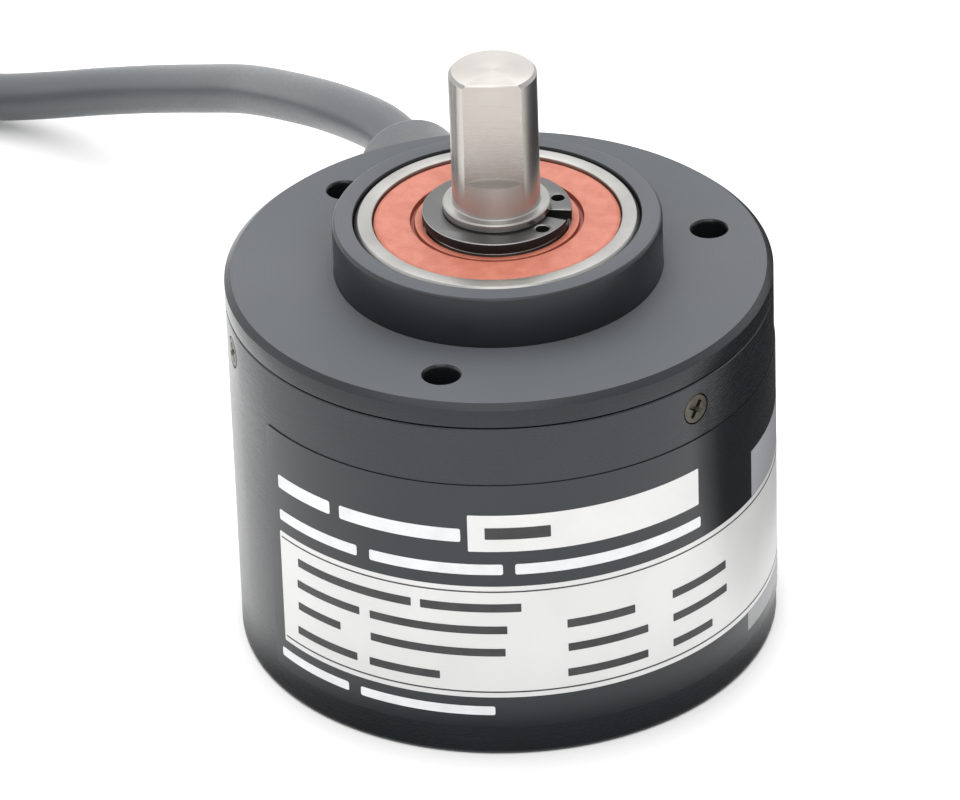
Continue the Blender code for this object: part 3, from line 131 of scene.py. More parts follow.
def upright(angle, radius, height):
    """Stands a shape at a plan angle, in millimetres, with its own X pointing outwards."""
    turn = Matrix.Rotation(math.radians(angle), 4, "Z")
    return Matrix.Translation(polar(radius, angle, height) * MM) @ turn


def radial(angle, radius, height):
    """Lays a shape at a plan angle, in millimetres, with its own Z pointing outwards."""
    return upright(angle, radius, height) @ Matrix.Rotation(math.pi / 2, 4, "Y")


def studio(right, ahead, up):
    """A place in the room, counted from the object as the photograph's camera sees it."""
    forward = (CAMERA_AIM - CAMERA_PLACE) * Vector((1, 1, 0))
    forward.normalize()
    return forward * ahead + Vector((forward.y, -forward.x, 0)) * right + Vector((0, 0, up))


# Meshes

ON_AXIS = 1e-6
SAME_PLACE = 1e-7
ROUTE_SUBSTEPS = 16


def add_object(name, data):
    obj = bpy.data.objects.new(name, data)
    bpy.context.scene.collection.objects.link(obj)
    return obj


def settled_mesh(obj):
    """The final mesh of an object with a modifier or a bevel, which is then removed."""
    graph = bpy.context.evaluated_depsgraph_get()
    mesh = bpy.data.meshes.new_from_object(obj.evaluated_get(graph))
    bpy.data.objects.remove(obj)
    return mesh


def mesh_from(name, shape):
    mesh = bpy.data.meshes.new(name)
    bmesh.ops.recalc_face_normals(shape, faces=shape.faces)
    shape.to_mesh(mesh)
    shape.free()
    return mesh


def fillet_arc(before, corner, after, fillet, steps):
    """Points of the arc that rounds a corner between its two neighbours."""
    back, ahead = (before - corner).normalized(), (after - corner).normalized()
    half = back.angle(ahead) / 2
    centre = corner + (back + ahead).normalized() * fillet / math.sin(half)
    start = corner + back * fillet / math.tan(half) - centre
    end = corner + ahead * fillet / math.tan(half) - centre
    first = math.atan2(start.y, start.x)
    sweep = math.atan2(start.x * end.y - start.y * end.x, start.dot(end))
    angles = [first + sweep * i / steps for i in range(steps + 1)]
    return [centre + fillet * Vector((math.cos(a), math.sin(a))) for a in angles]


def rounded(corners, steps=4):
    """Points of an outline whose corners are given as x, y and, where it is rounded, a fillet."""
    points = []
    for i, corner in enumerate(corners):
        here = Vector(corner[:2])
        if len(corner) == 3:
            before, after = corners[i - 1], corners[(i + 1) % len(corners)]
            points += fillet_arc(Vector(before[:2]), here, Vector(after[:2]), corner[2], steps)
        else:
            points.append(here)
    return points


def lathe(name, corners, steps):
    """A section in millimetres, as radius, height and fillet, turned round the Z axis."""
    shape = bmesh.new()
    rings = []
    for radius, height in rounded(corners):
        if radius < ON_AXIS:
            rings.append([shape.verts.new((0, 0, height * MM))])
        else:
            places = [polar(radius, 360 * k / steps, height) * MM for k in range(steps)]
            rings.append([shape.verts.new(place) for place in places])
    pairs = list(zip(rings, rings[1:]))
    starts_on_axis = len(rings[0]) == 1
    if not starts_on_axis:
        pairs.append((rings[-1], rings[0]))
    for a, b in pairs:
        for k in range(steps):
            corner = (a[k % len(a)], b[k % len(b)], b[(k + 1) % len(b)], a[(k + 1) % len(a)])
            shape.faces.new(list(dict.fromkeys(corner)))
    return mesh_from(name, shape)


def rod(radius, low, high):
    return lathe("rod", [(0, high), (radius, high), (radius, low), (0, low)], SMALL_STEPS)


def block(size, taper=1.0):
    """A box in millimetres round the origin, whose lower end is drawn in by the taper."""
    width, length, height = size
    shape = bmesh.new()
    bmesh.ops.create_cube(shape, size=MM)
    for vertex in shape.verts:
        x, y, z = vertex.co
        pull = taper if z < 0 else 1.0
        vertex.co = (x * width * pull, y * length * pull, z * height)
    return mesh_from("block", shape)


def moved(mesh, matrix):
    mesh.transform(matrix)
    return mesh


def joined(name, meshes):
    shape = bmesh.new()
    for mesh in meshes:
        shape.from_mesh(mesh)
        bpy.data.meshes.remove(mesh)
    mesh = bpy.data.meshes.new(name)
    shape.to_mesh(mesh)
    shape.free()
    return mesh


def carved(mesh, tools, operation="DIFFERENCE"):
    """The mesh after a Boolean with the tools, which don't touch each other."""
    base = add_object(mesh.name, mesh)
    tool = add_object("tool", joined("tool", tools))
    modifier = base.modifiers.new("cut", "BOOLEAN")
    modifier.operation = operation
    modifier.solver = "EXACT"
    modifier.object = tool
    result = settled_mesh(base)
    bpy.data.objects.remove(tool)
    return result


def plate(name, outlines, thickness, bevel):
    """A flat piece with softened edges, from its outline and those of its holes, in millimetres."""
    curve = bpy.data.curves.new(name, "CURVE")
    curve.dimensions = "2D"
    curve.fill_mode = "BOTH"
    curve.extrude = (thickness / 2 - bevel) * MM
    curve.bevel_depth = bevel * MM
    curve.bevel_resolution = 2
    curve.offset = -bevel * MM
    for outline in outlines:
        spline = curve.splines.new("POLY")
        spline.points.add(len(outline) - 1)
        for target, point in zip(spline.points, outline):
            target.co = (point[0] * MM, point[1] * MM, 0, 1)
        spline.use_cyclic_u = True
    shape = bmesh.new()
    shape.from_mesh(settled_mesh(add_object(name, curve)))
    bmesh.ops.remove_doubles(shape, verts=shape.verts, dist=SAME_PLACE)
    return mesh_from(name, shape)


def arc(radius, start, end, steps, centre=(0, 0)):
    angles = [math.radians(start + (end - start) * i / steps) for i in range(steps + 1)]
    return [(centre[0] + radius * math.cos(a), centre[1] + radius * math.sin(a)) for a in angles]


def tube_curve(name, points, radius, resolution=6):
    """A round tube on one open line of points, which are in metres, with its radius in millimetres."""
    curve = bpy.data.curves.new(name, "CURVE")
    curve.dimensions = "3D"
    curve.bevel_depth = radius * MM
    curve.bevel_resolution = resolution
    curve.use_fill_caps = True
    spline = curve.splines.new("POLY")
    spline.points.add(len(points) - 1)
    for target, point in zip(spline.points, points):
        target.co = (*point, 1)
    return curve


def smooth_route(points, count):
    """Evenly spaced points on a smooth curve through the given ones."""
    knots = [Vector(p) for p in points]
    knots = [2 * knots[0] - knots[1], *knots, 2 * knots[-1] - knots[-2]]
    fine = []
    for a, b, c, d in zip(knots, knots[1:], knots[2:], knots[3:]):
        for i in range(ROUTE_SUBSTEPS):
            t = i / ROUTE_SUBSTEPS
            fine.append(0.5 * (2 * b + (c - a) * t + (2 * a - 5 * b + 4 * c - d) * t**2
                               + (3 * b - a - 3 * c + d) * t**3))
    fine.append(knots[-2])
    travelled = [0.0]
    for a, b in zip(fine, fine[1:]):
        travelled.append(travelled[-1] + (b - a).length)
    wanted = np.linspace(0, travelled[-1], count)
    columns = [np.interp(wanted, travelled, [p[axis] for p in fine]) for axis in range(3)]
    return [Vector(p) for p in zip(*columns)]


def piece(name, data, slot, look=None, body="housing", nodes=()):
    """Adds a piece of the object, which rides on a body and stands for the given CAD nodes."""
    obj = add_object(name, data)
    data.materials.clear()
    data.materials.append(LOOKS[look or slot])
    if obj.type == "MESH":
        data.shade_smooth()
        data.set_sharp_from_angle(angle=SHARP_ANGLE)
    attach(obj, body)
    if nodes:
        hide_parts(*nodes)
    return obj


def paint_faces(obj, look, is_chosen):
    """Gives the faces that pass a test a look of their own."""
    obj.data.materials.append(LOOKS[look])
    index = len(obj.data.materials) - 1
    for face in obj.data.polygons:
        if is_chosen(face):
            face.material_index = index


# Materials


class NodeTree:
    """The shader nodes of a material or a world."""

    def __init__(self, owner):
        owner.use_nodes = True
        self.tree = owner.node_tree

    def node(self, kind, inputs=(), **settings):
        node = self.tree.nodes.new(kind)
        for key, value in settings.items():
            setattr(node, key, value)
        for key, value in dict(inputs).items():
            self.feed(node.inputs[key], value)
        return node

    def feed(self, socket, value):
        if isinstance(value, bpy.types.NodeSocket):
            self.tree.links.new(value, socket)
        elif socket.type == "RGBA":
            socket.default_value = (*value, 1.0)
        else:
            socket.default_value = value

    def vector_math(self, operation, *values):
        return self.node("ShaderNodeVectorMath", dict(enumerate(values)), operation=operation).outputs


class Look(NodeTree):
    """A material whose colour, roughness and bump come from noise in the piece's own space."""

    def __init__(self, name, **constants):
        self.material = bpy.data.materials.new(name)
        super().__init__(self.material)
        self.shader = self.tree.nodes["Principled BSDF"]
        for key, value in constants.items():
            self.shader.inputs[key.replace("_", " ")].default_value = value
        self.place = self.node("ShaderNodeTexCoord").outputs["Object"]

    def noise(self, scale, place=None, detail=3.0):
        inputs = {"Vector": place or self.place, "Scale": scale, "Detail": detail}
        return self.node("ShaderNodeTexNoise", inputs).outputs["Fac"]

    def span(self, value, low, high, start=0.35, end=0.65):
        inputs = {"Value": value, "From Min": start, "From Max": end, "To Min": low, "To Max": high}
        return self.node("ShaderNodeMapRange", inputs).outputs["Result"]

    def blend(self, share, first, second):
        inputs = {0: share, 6: first, 7: second}
        return self.node("ShaderNodeMix", inputs, data_type="RGBA").outputs[2]

    def turned_place(self):
        """Coordinates of radius and height, which make rings on turned faces."""
        parts = self.node("ShaderNodeSeparateXYZ", {0: self.place}).outputs
        flat = self.node("ShaderNodeCombineXYZ", {0: parts[0], 1: parts[1]}).outputs[0]
        radius = self.vector_math("LENGTH", flat)["Value"]
        return self.node("ShaderNodeCombineXYZ", {0: radius, 2: parts[2]}).outputs[0]

    def finish(self, colour, roughness, height, distance):
        self.feed(self.shader.inputs["Base Color"], colour)
        self.feed(self.shader.inputs["Roughness"], roughness)
        inputs = {"Height": height, "Distance": distance, "Strength": 1.0}
        bump = self.node("ShaderNodeBump", inputs)
        self.feed(self.shader.inputs["Normal"], bump.outputs["Normal"])
        return self.material


def mottled(name, tones, roughness, broad=150.0, fine=6000.0, depth=0.01, stretch=(1, 1, 1), **constants):
    """A moulded, painted or plain surface: slow colour change, fine change of gloss, fine grain."""
    look = Look(name, **constants)
    grain = look.noise(fine, look.vector_math("MULTIPLY", look.place, stretch)[0])
    colour = look.blend(look.span(look.noise(broad), 0.0, 1.0), *tones)
    return look.finish(colour, look.span(grain, *roughness), grain, depth * MM)


def turned(name, tones, roughness, broad=220.0, fine=9000.0, depth=0.004, **constants):
    """A surface with the fine rings that a lathe leaves, which smear its reflections across them."""
    look = Look(name, Anisotropic_Rotation=0.25, **constants)
    tangent = look.node("ShaderNodeTangent", direction_type="RADIAL", axis="Z")
    look.feed(look.shader.inputs["Tangent"], tangent.outputs["Tangent"])
    rings = look.noise(fine, look.turned_place(), detail=2.0)
    colour = look.blend(look.span(look.noise(broad), 0.0, 1.0), *tones)
    return look.finish(colour, look.span(rings, *roughness), rings, depth * MM)


def shades(colour, spread):
    """A darker and a lighter tone of a colour."""
    return [tuple(c * (1 - spread) for c in colour), tuple(c * (1 + spread) for c in colour)]


def faded(name, tone, middle, fade):
    """A dark card round a place in the room, painted shade that fades to the floor's paleness away from
    it.
    """
    look = Look(name)
    away = look.vector_math("DISTANCE", look.place, studio(*middle))["Value"]
    grain = look.noise(900.0)
    dark = look.blend(look.span(look.noise(40.0), 0.0, 1.0), *shades(tone, 0.08))
    colour = look.blend(look.span(away, 0.0, 1.0, *fade), dark, CARD_PALE)
    return look.finish(colour, look.span(grain, 0.8, 0.9), grain, 0.05 * MM)


# Looks: dark and light tone, range of roughness, scales of the noise, depth of the bump in millimetres

BLACK = (0.0085, 0.0090, 0.0105)
COOL_TINT = (0.90, 0.95, 1.0, 1.0)
TURNED_BLACK = dict(
    tones=shades(BLACK, 0.12), roughness=(0.24, 0.30), broad=90, fine=7000,
    depth=0.001, Anisotropic=0.5, Specular_Tint=COOL_TINT)
COATED = dict(broad=400, fine=9000, depth=0.0015)
RUBBER = dict(broad=700, fine=5000, depth=0.012)
FOIL = dict(roughness=(0.36, 0.44), broad=80, fine=7000, depth=0.003)
PRINTED = dict(roughness=(0.4, 0.5), fine=7000, depth=0.003)
MOULDED = dict(roughness=(0.42, 0.56), broad=500)
WIRE_FINISH = dict(roughness=(0.38, 0.5), broad=300, fine=5000, depth=0.01)
TURNED_LOOKS = {
    # housing_black, far lighter than the blacks of the walls, is painted light on the up-facing faces of
    # flange and boss; rim_black and boss_black are the walls' darker copies
    "housing_black": dict(
        tones=shades((0.071, 0.076, 0.084), 0.03), roughness=(0.50, 0.58), broad=90, fine=7000,
        depth=0.002, IOR=1.5, Anisotropic=0.9, Specular_Tint=COOL_TINT),
    "cover_black": dict(TURNED_BLACK, IOR=1.55),
    "rim_black": dict(TURNED_BLACK, IOR=1.45),
    "shaft_steel": dict(
        tones=((0.465, 0.440, 0.415), (0.505, 0.480, 0.455)), roughness=(0.23, 0.27),
        depth=0.0004, Metallic=1.0, Anisotropic=0.5),
    "bearing_steel": dict(
        tones=((0.28, 0.275, 0.262), (0.34, 0.335, 0.322)), roughness=(0.28, 0.38),
        Metallic=1.0, Anisotropic=0.5),
    "spring_steel": dict(tones=shades((0.40, 0.38, 0.35), 0.06), roughness=(0.25, 0.35), Metallic=1.0),
    "hub_aluminium": dict(tones=shades((0.70, 0.70, 0.71), 0.04), roughness=(0.28, 0.4), Metallic=1.0),
}
MOTTLED_LOOKS = {
    "boss_black": dict(
        tones=shades(BLACK, 0.12), roughness=(0.30, 0.38), broad=90, fine=9000,
        depth=0.002, IOR=1.5, Specular_Tint=COOL_TINT),
    "ground_steel": dict(
        tones=((0.425, 0.392, 0.362), (0.460, 0.426, 0.394)), roughness=(0.25, 0.28),
        broad=220, fine=7000, depth=0.0003, stretch=(0.03, 0.03, 1.0), Metallic=1.0),
    "screw_steel": dict(
        tones=((0.085, 0.080, 0.064), (0.12, 0.112, 0.092)), roughness=(0.34, 0.46),
        broad=900, fine=8000, depth=0.006, Metallic=1.0),
    "black_steel": dict(COATED, tones=shades((0.01, 0.01, 0.011), 0.2), roughness=(0.28, 0.34), IOR=1.8),
    # A darker, less reflective copy of black_steel: painted shade on the snap ring's walls and underside
    "shaded_black_steel": dict(COATED, tones=shades((0.008, 0.008, 0.0085), 0.2), roughness=(0.4, 0.5), IOR=1.3),
    "seal_rubber": dict(RUBBER, tones=((0.42, 0.12, 0.074), (0.49, 0.16, 0.104)), roughness=(0.48, 0.62)),
    # seal_shade is a darker copy of the seal's rubber: painted shade in the seal's groove
    "seal_shade": dict(RUBBER, tones=((0.22, 0.044, 0.026), (0.27, 0.058, 0.034)), roughness=(0.5, 0.62)),
    "black_rubber": dict(tones=shades((0.02, 0.02, 0.021), 0.2), roughness=(0.6, 0.75)),
    "label_film": dict(
        tones=shades(BLACK, 0.1), roughness=(0.17, 0.23), broad=120, fine=7000,
        depth=0.001, IOR=1.54, Specular_Tint=COOL_TINT),
    "silver_foil": dict(FOIL, tones=((0.58, 0.58, 0.575), (0.63, 0.63, 0.625)), Metallic=0.25),
    "grey_foil": dict(FOIL, tones=((0.24, 0.25, 0.26), (0.28, 0.29, 0.30))),
    "white_film": dict(PRINTED, tones=((0.62, 0.62, 0.61), (0.66, 0.66, 0.65)), broad=200),
    "pale_ink": dict(PRINTED, tones=((0.62, 0.63, 0.64), (0.70, 0.71, 0.72)), broad=400),
    "dark_ink": dict(PRINTED, tones=((0.018, 0.018, 0.02), (0.03, 0.03, 0.032)), broad=400),
    "disc_glass": dict(
        tones=((0.70, 0.82, 0.83), (0.78, 0.88, 0.88)), roughness=(0.04, 0.08),
        depth=0.0005, Transmission_Weight=0.8),
    "mask_glass": dict(
        tones=shades((0.35, 0.37, 0.40), 0.1), roughness=(0.08, 0.14), depth=0.0005, Metallic=0.6),
    "clear_resin": dict(
        tones=shades((0.85, 0.85, 0.82), 0.03), roughness=(0.06, 0.12),
        depth=0.001, Transmission_Weight=0.8),
    "black_plastic": dict(MOULDED, tones=shades((0.02, 0.02, 0.022), 0.2)),
    "white_plastic": dict(MOULDED, tones=shades((0.78, 0.76, 0.70), 0.04)),
    "amber_film": dict(
        tones=shades((0.50, 0.23, 0.045), 0.15), roughness=(0.28, 0.4), broad=600, depth=0.004),
    "board_green": dict(
        tones=shades((0.02, 0.13, 0.055), 0.2), roughness=(0.3, 0.42), broad=600, fine=4000, depth=0.006),
    "brass": dict(
        tones=shades((0.68, 0.50, 0.22), 0.05), roughness=(0.24, 0.36), broad=500, fine=8000,
        depth=0.004, Metallic=1.0),
    "tinned_copper": dict(
        tones=((0.66, 0.64, 0.60), (0.76, 0.74, 0.70)), roughness=(0.22, 0.36), broad=900, fine=7000,
        depth=0.004, Metallic=1.0),
    "cable_pvc": dict(
        tones=shades((0.078, 0.084, 0.090), 0.06), roughness=(0.34, 0.42),
        broad=60, fine=2500, depth=0.005),
    "tie_black": dict(
        tones=shades((0.022, 0.022, 0.023), 0.2), roughness=(0.40, 0.52),
        broad=400, fine=4000, depth=0.008),
    "pale_floor": dict(
        tones=((0.90, 0.90, 0.895), (0.93, 0.93, 0.925)), roughness=(0.8, 0.9), broad=3.0, fine=400,
        depth=0.02, Specular_IOR_Level=0.1),
    # white_card glows and shows only in reflections: a painted bright reflection, not a lamp
    "white_card": dict(
        tones=((0.88, 0.88, 0.88), (0.92, 0.92, 0.92)), roughness=(0.8, 0.9), broad=40, fine=900,
        depth=0.05, Emission_Color=(1.0, 1.0, 1.0, 1.0), Emission_Strength=0.8),
}
WIRE_COLOURS = {
    "brown": (0.18, 0.07, 0.03),
    "black": (0.016, 0.016, 0.017),
    "white": (0.74, 0.74, 0.72),
    "orange": (0.78, 0.24, 0.03),
    "blue": (0.03, 0.10, 0.42),
    "green": (0.09, 0.24, 0.08),
}


def make_looks():
    looks = {name: turned(name, **settings) for name, settings in TURNED_LOOKS.items()}
    for name, settings in MOTTLED_LOOKS.items():
        looks[name] = mottled(name, **settings)
    for name, settings in DARK_CARD_LOOKS.items():
        looks[name] = faded(name, *settings)
    for word, colour in WIRE_COLOURS.items():
        name = f"wire_{word}"
        looks[name] = mottled(name, shades(colour, 0.15), **WIRE_FINISH)
    return looks


LOOKS = make_looks()


def dress_nodes():
    """Gives every CAD node the look of its material slot."""
    for part in frame["record"]["subparts"]:
        obj = frame["nodes"][part["node"]]
        obj.data.materials.clear()
        obj.data.materials.append(LOOKS[part["material_slot"]])


# Cable: its free stretch as in the part's source, in metres

CABLE_ROUTE = (
    (-0.0196, 0.0352, 0.0280),
    (-0.0227, 0.0389, 0.0274),
    (-0.0287, 0.0451, 0.0252),
    (-0.0352, 0.0523, 0.0218),
    (-0.0426, 0.0604, 0.0175),
    (-0.0496, 0.0663, 0.0136),
    (-0.0565, 0.0710, 0.0102),
    (-0.0633, 0.0746, 0.0072),
    (-0.0697, 0.0769, 0.0048),
    (-0.0757, 0.0780, 0.0033),
    (-0.0815, 0.0785, 0.0028),
    (-0.0868, 0.0783, 0.0028),
    (-0.0920, 0.0774, 0.0030),
    (-0.0985, 0.0756, 0.0033),
)
CABLE_STEPS = 90

# Coil of the rest of the cable, in millimetres and degrees
COIL_CENTRE = Vector((-105.0, 38.0, 0.0))
COIL_START_ANGLE = 105.5
COIL_TURNS = 5.25
COIL_OUTER_RADIUS = 34.5
COIL_PITCH = 5.6
COIL_LOW = 3.45
COIL_CLIMB_TURNS = 0.5
COIL_POINTS_PER_TURN = 60

# Bush, in millimetres along and round the cable, and the cover's wall that it grips
BUSH_BORE = 2.6
BUSH_RADIUS = 5.0
BUSH_COLLAR_RADIUS = 5.6
BUSH_COLLAR = (24.2, 26.8)
BUSH_INNER_RADIUS = 4.7
BUSH_START = 21.8
BUSH_NECK = (4.0, 22.0, 27.0)
WALL_RADII = (23.5, 25.3)
WALL_HEIGHTS = (21.0, 35.0)

# Strap round the coil with its locking head and tail, in millimetres and degrees
TIE_ANGLE = 45.0
TIE_WIDTH = 4.0
TIE_THICKNESS = 0.6
TIE_CORNER = 2.0
TIE_CORNER_STEPS = 6
TIE_BEVEL = 0.12
TIE_LOCK = {
    "head": dict(
        reach=(0.1, 3.4), heights=(-2.2, 2.2), fillets=(0.4, 0.9, 0.9, 0.4), width=5.6, bevel=0.3),
    "tail": dict(
        reach=(1.6, 2.5), heights=(2.0, 4.6), fillets=(0, 0, 0.3, 0.3), width=3.6, bevel=0.1),
}

# Stripped leads: distance along in millimetres, share of the drop, share of the spread
LEAD_ROUTE = (
    (0, 0.00, 0.00),
    (4, 0.00, 0.02),
    (9, 0.08, 0.14),
    (15, 0.32, 0.36),
    (21, 0.64, 0.58),
    (27, 0.90, 0.76),
    (33, 1.00, 0.88),
    (40, 1.00, 0.96),
    (47, 1.00, 1.00),
)
LEAD_COLUMNS = (-1, -1, 0, 0, 1, 1)
LEAD_ROWS = (1, -1, -1, 1, -1, 1)
LEAD_RADIUS = 0.55
LEAD_PITCH = 1.4
LEAD_SPREAD = 2.6
LEAD_FLOOR_GAP = 0.05
LEAD_STEPS = 48
BARE_STEPS = 6  # of these, stripped to the strands at the end
STRAND_RADIUS = 0.12
STRANDS_ROUND = 6
STRAND_STEPS = 14
STRAND_TWIST = 0.6  # turns


def coil_radius(turns):
    inner = COIL_OUTER_RADIUS - COIL_PITCH * COIL_TURNS / 2
    return inner + COIL_PITCH * abs(turns - COIL_TURNS / 2)


def coil_height(turns):
    share = (turns - COIL_TURNS / 2) / COIL_CLIMB_TURNS + 0.5
    share = min(max(share, 0), 1)
    return COIL_LOW + COIL_PITCH * share * share * (3 - 2 * share)


def coil_point(turns):
    angle = COIL_START_ANGLE + 360 * turns
    return (COIL_CENTRE + polar(coil_radius(turns), angle, coil_height(turns))) * MM


def coil_heading(turns):
    return polar(1, COIL_START_ANGLE + 360 * turns + 90)


def coil_route():
    """The coil's points, with a straight run of one cable diameter at each end."""
    count = round(COIL_TURNS * COIL_POINTS_PER_TURN)
    turns = [COIL_TURNS * i / count for i in range(count + 1)]
    run = 2 * CABLE_RADIUS * MM
    first, last = coil_point(0), coil_point(COIL_TURNS)
    return [first - run * coil_heading(0), *map(coil_point, turns), last + run * coil_heading(COIL_TURNS)]


def cable_route():
    """The whole cable, from the bush's end to the end of the coil."""
    coil = coil_route()
    end = coil[0] - FACE_GAP * MM * coil_heading(0)
    before_end = end - 2 * CABLE_RADIUS * MM * coil_heading(0)
    start = polar(GLAND_END, GLAND_ANGLE, GLAND_HEIGHT) * MM
    straight = polar(GLAND_END + FACE_GAP, GLAND_ANGLE, GLAND_HEIGHT) * MM
    return [start, *smooth_route([straight, *CABLE_ROUTE, before_end, end], CABLE_STEPS), *coil]


def wall_round_neck(place):
    """The cover's wall with a hole for the bush's neck, to cut the bush's groove with."""
    (inner, outer), (low, high) = WALL_RADII, WALL_HEIGHTS
    wall = lathe("wall", [(outer, high), (outer, low), (inner, low), (inner, high)], BODY_STEPS)
    return carved(wall, [moved(rod(*BUSH_NECK), place)])


def make_gland():
    collar_start, collar_end = BUSH_COLLAR
    bush = lathe("cable_bush", [
        (BUSH_BORE, GLAND_END),
        (BUSH_RADIUS, GLAND_END, 0.9),
        (BUSH_RADIUS, collar_end, 0.15),
        (BUSH_COLLAR_RADIUS, collar_end, 0.25),
        (BUSH_COLLAR_RADIUS, collar_start),
        (BUSH_INNER_RADIUS, collar_start),
        (BUSH_INNER_RADIUS, BUSH_START, 0.2),
        (BUSH_BORE, BUSH_START),
    ], SMALL_STEPS)
    place = radial(GLAND_ANGLE, 0, GLAND_HEIGHT)
    bush = carved(moved(bush, place), [wall_round_neck(place)])
    return piece("cable_bush", bush, "cable_pvc", nodes=["cable_gland"])


def tie_box():
    """Edges of the space inside the strap: nearest and furthest from the coil's middle, low and high."""
    turns = TIE_ANGLE / 360
    margin = CABLE_RADIUS + FACE_GAP
    inner = coil_radius(turns + math.floor(COIL_TURNS / 2)) - margin
    outer = coil_radius(turns) + margin
    return inner, outer, COIL_LOW - margin, COIL_LOW + COIL_PITCH + margin


def tie_loop(grow, radius):
    """Outline of the space inside the strap, grown on all sides."""
    inner, outer, low, high = tie_box()
    left, right, bottom, top = inner - grow, outer + grow, low - grow, high + grow
    corners = ((left, bottom), (right, bottom), (right, top), (left, top))
    return rounded([(x, y, radius) for x, y in corners], TIE_CORNER_STEPS)


def lock_plate(name, reach, heights, fillets, width, bevel):
    """A part of the lock, counted from the middle of the strap's outer side."""
    inner, outer, low, high = tie_box()
    near, far = [outer + step for step in reach]
    start, end = [(low + high) / 2 + height for height in heights]
    corners = ((near, start), (far, start), (far, end), (near, end))
    outline = [(*corner, fillet) if fillet else corner for corner, fillet in zip(corners, fillets)]
    return plate(name, [rounded(outline)], width, bevel)


def make_tie():
    """A strap with a locking head, whose cut tail stands a little out of it."""
    loops = [tie_loop(TIE_THICKNESS, TIE_CORNER + TIE_THICKNESS), tie_loop(0, TIE_CORNER)]
    band = plate("strap", loops, TIE_WIDTH, TIE_BEVEL)
    lock = [lock_plate(name, **sizes) for name, sizes in TIE_LOCK.items()]
    turn = Matrix.Rotation(math.radians(COIL_START_ANGLE + TIE_ANGLE), 4, "Z")
    stand = Matrix.Translation(COIL_CENTRE * MM) @ turn @ Matrix.Rotation(math.pi / 2, 4, "X")
    mesh = moved(joined("coil_strap", [band, *lock]), stand)
    return piece("coil_strap", mesh, "tie_black", nodes=["coil_tie"])


def lead_route(column, row, place):
    """A stripped lead that leaves the cable's far end, drops to the floor and fans out."""
    origin = coil_route()[-1] / MM
    heading = coil_heading(COIL_TURNS)
    across = Vector((-heading.y, heading.x, 0))
    floor = LEAD_RADIUS + LEAD_FLOOR_GAP
    points = []
    for along, drop, spread in LEAD_ROUTE:
        side = (1 - spread) * column * LEAD_PITCH + spread * place * LEAD_SPREAD
        height = (1 - drop) * (origin.z + row * LEAD_PITCH / 2) + drop * floor
        point = origin + heading * along + across * side
        points.append(Vector((point.x, point.y, height)) * MM)
    route = smooth_route(points, LEAD_STEPS)
    return [Vector((p.x, p.y, max(p.z, floor * MM))) for p in route]


def strand_route(start, end, offset):
    """A strand's points beside a straight line, round which its offset twists."""
    along = (end - start).normalized()
    across = Vector((-along.y, along.x, 0)).normalized()
    route = []
    for i in range(STRAND_STEPS + 1):
        share = i / STRAND_STEPS
        beside = Matrix.Rotation(math.tau * STRAND_TWIST * i / STRAND_STEPS, 2) @ offset
        route.append(start.lerp(end, share) + (across * beside.x + Vector((0, 0, beside.y))) * MM)
    return route


def make_strands(name, points, slot):
    """The thin strands of a stripped conductor, twisted round one in the middle."""
    angles = [math.tau * k / STRANDS_ROUND for k in range(STRANDS_ROUND)]
    ring = [2 * STRAND_RADIUS * Vector((math.cos(a), math.sin(a))) for a in angles]
    strands = []
    for k, offset in enumerate([Vector((0, 0)), *ring]):
        route = strand_route(points[0], points[-1], offset)
        curve = tube_curve(f"strand_{k}", route, STRAND_RADIUS, resolution=1)
        strands.append(settled_mesh(add_object("strand", curve)))
    return piece(name, joined(name, strands), slot, look="tinned_copper")


def make_leads():
    middle = (len(LEAD_COLUMNS) - 1) / 2
    for i, (column, row, colour) in enumerate(zip(LEAD_COLUMNS, LEAD_ROWS, WIRE_COLOURS)):
        route = lead_route(column, row, i - middle)
        cover, bare = route[:-BARE_STEPS], route[-BARE_STEPS - 2:]
        slot = f"wire_{colour}"
        curve = tube_curve(f"lead_{colour}", cover, LEAD_RADIUS)
        lead = piece(f"lead_{colour}", curve, slot, nodes=[f"lead_wire_{i + 1}"])
        strands = make_strands(f"lead_{colour}_strands", bare, slot)


def make_cable():
    route = cable_route()
    curve = tube_curve("cable", route, CABLE_RADIUS, resolution=8)
    cable = piece("cable", curve, "cable_pvc", nodes=["cable_lead", "cable_coil"])
    bush = make_gland()
    tie = make_tie()
    make_leads()


# Flange and cover, in millimetres and degrees

SEAM_GAP = 0.03  # between flange and boss
RIM_BASE = 34.75
RIM_BEVEL = (0.6, 0.5)  # across and down
RIM_FILLET = 0.04
SPIGOT_RADIUS = 23.6
O_RING_GROOVE = (22.6, 33.3, 34.5)  # radius and heights

# Holes of the flange: the thread of the mounting holes, then radius and both ends of the others
THREAD_RADIUS = 1.6
THREAD_DEPTH = 5.5
THREAD_PITCH = 0.7
THREAD_RISE = 0.12  # share of the pitch
THREAD_STEPS = 36
MOUTH_BEVEL = 0.12
DRILL_POINT = 0.8
CUT_OVER = 2.0  # above the face that is cut
SCREW_HOLE = (1.0, 20.7, 25.0)
GLAND_NOTCH = (5.0, 14.4, 25.0)
STUD_HOLE = (0.9, -2.0, 2.8)
GRIP_HOLE = (0.85, -2.0, 2.8)
STANDOFF_ANGLES = (60.0, 180.0, 300.0)
STANDOFF_CIRCLE_RADIUS = 22.0
OPTIC_RADIUS = 18.9
OPTIC_ANGLE = 240.0
EAR_SPACING = 11.2

# Boss: the bearings' seat, and radius and heights of its sleeve and of its shoulder
SEAT_RADIUS = 13.1
SEAT_MOUTH = (0.05, 0.2)  # across and down
BOSS_FILLET = 0.4
SLEEVE = (14.1, 22.0, 34.1)
SHOULDER = (11.4, 31.9, 33.4)

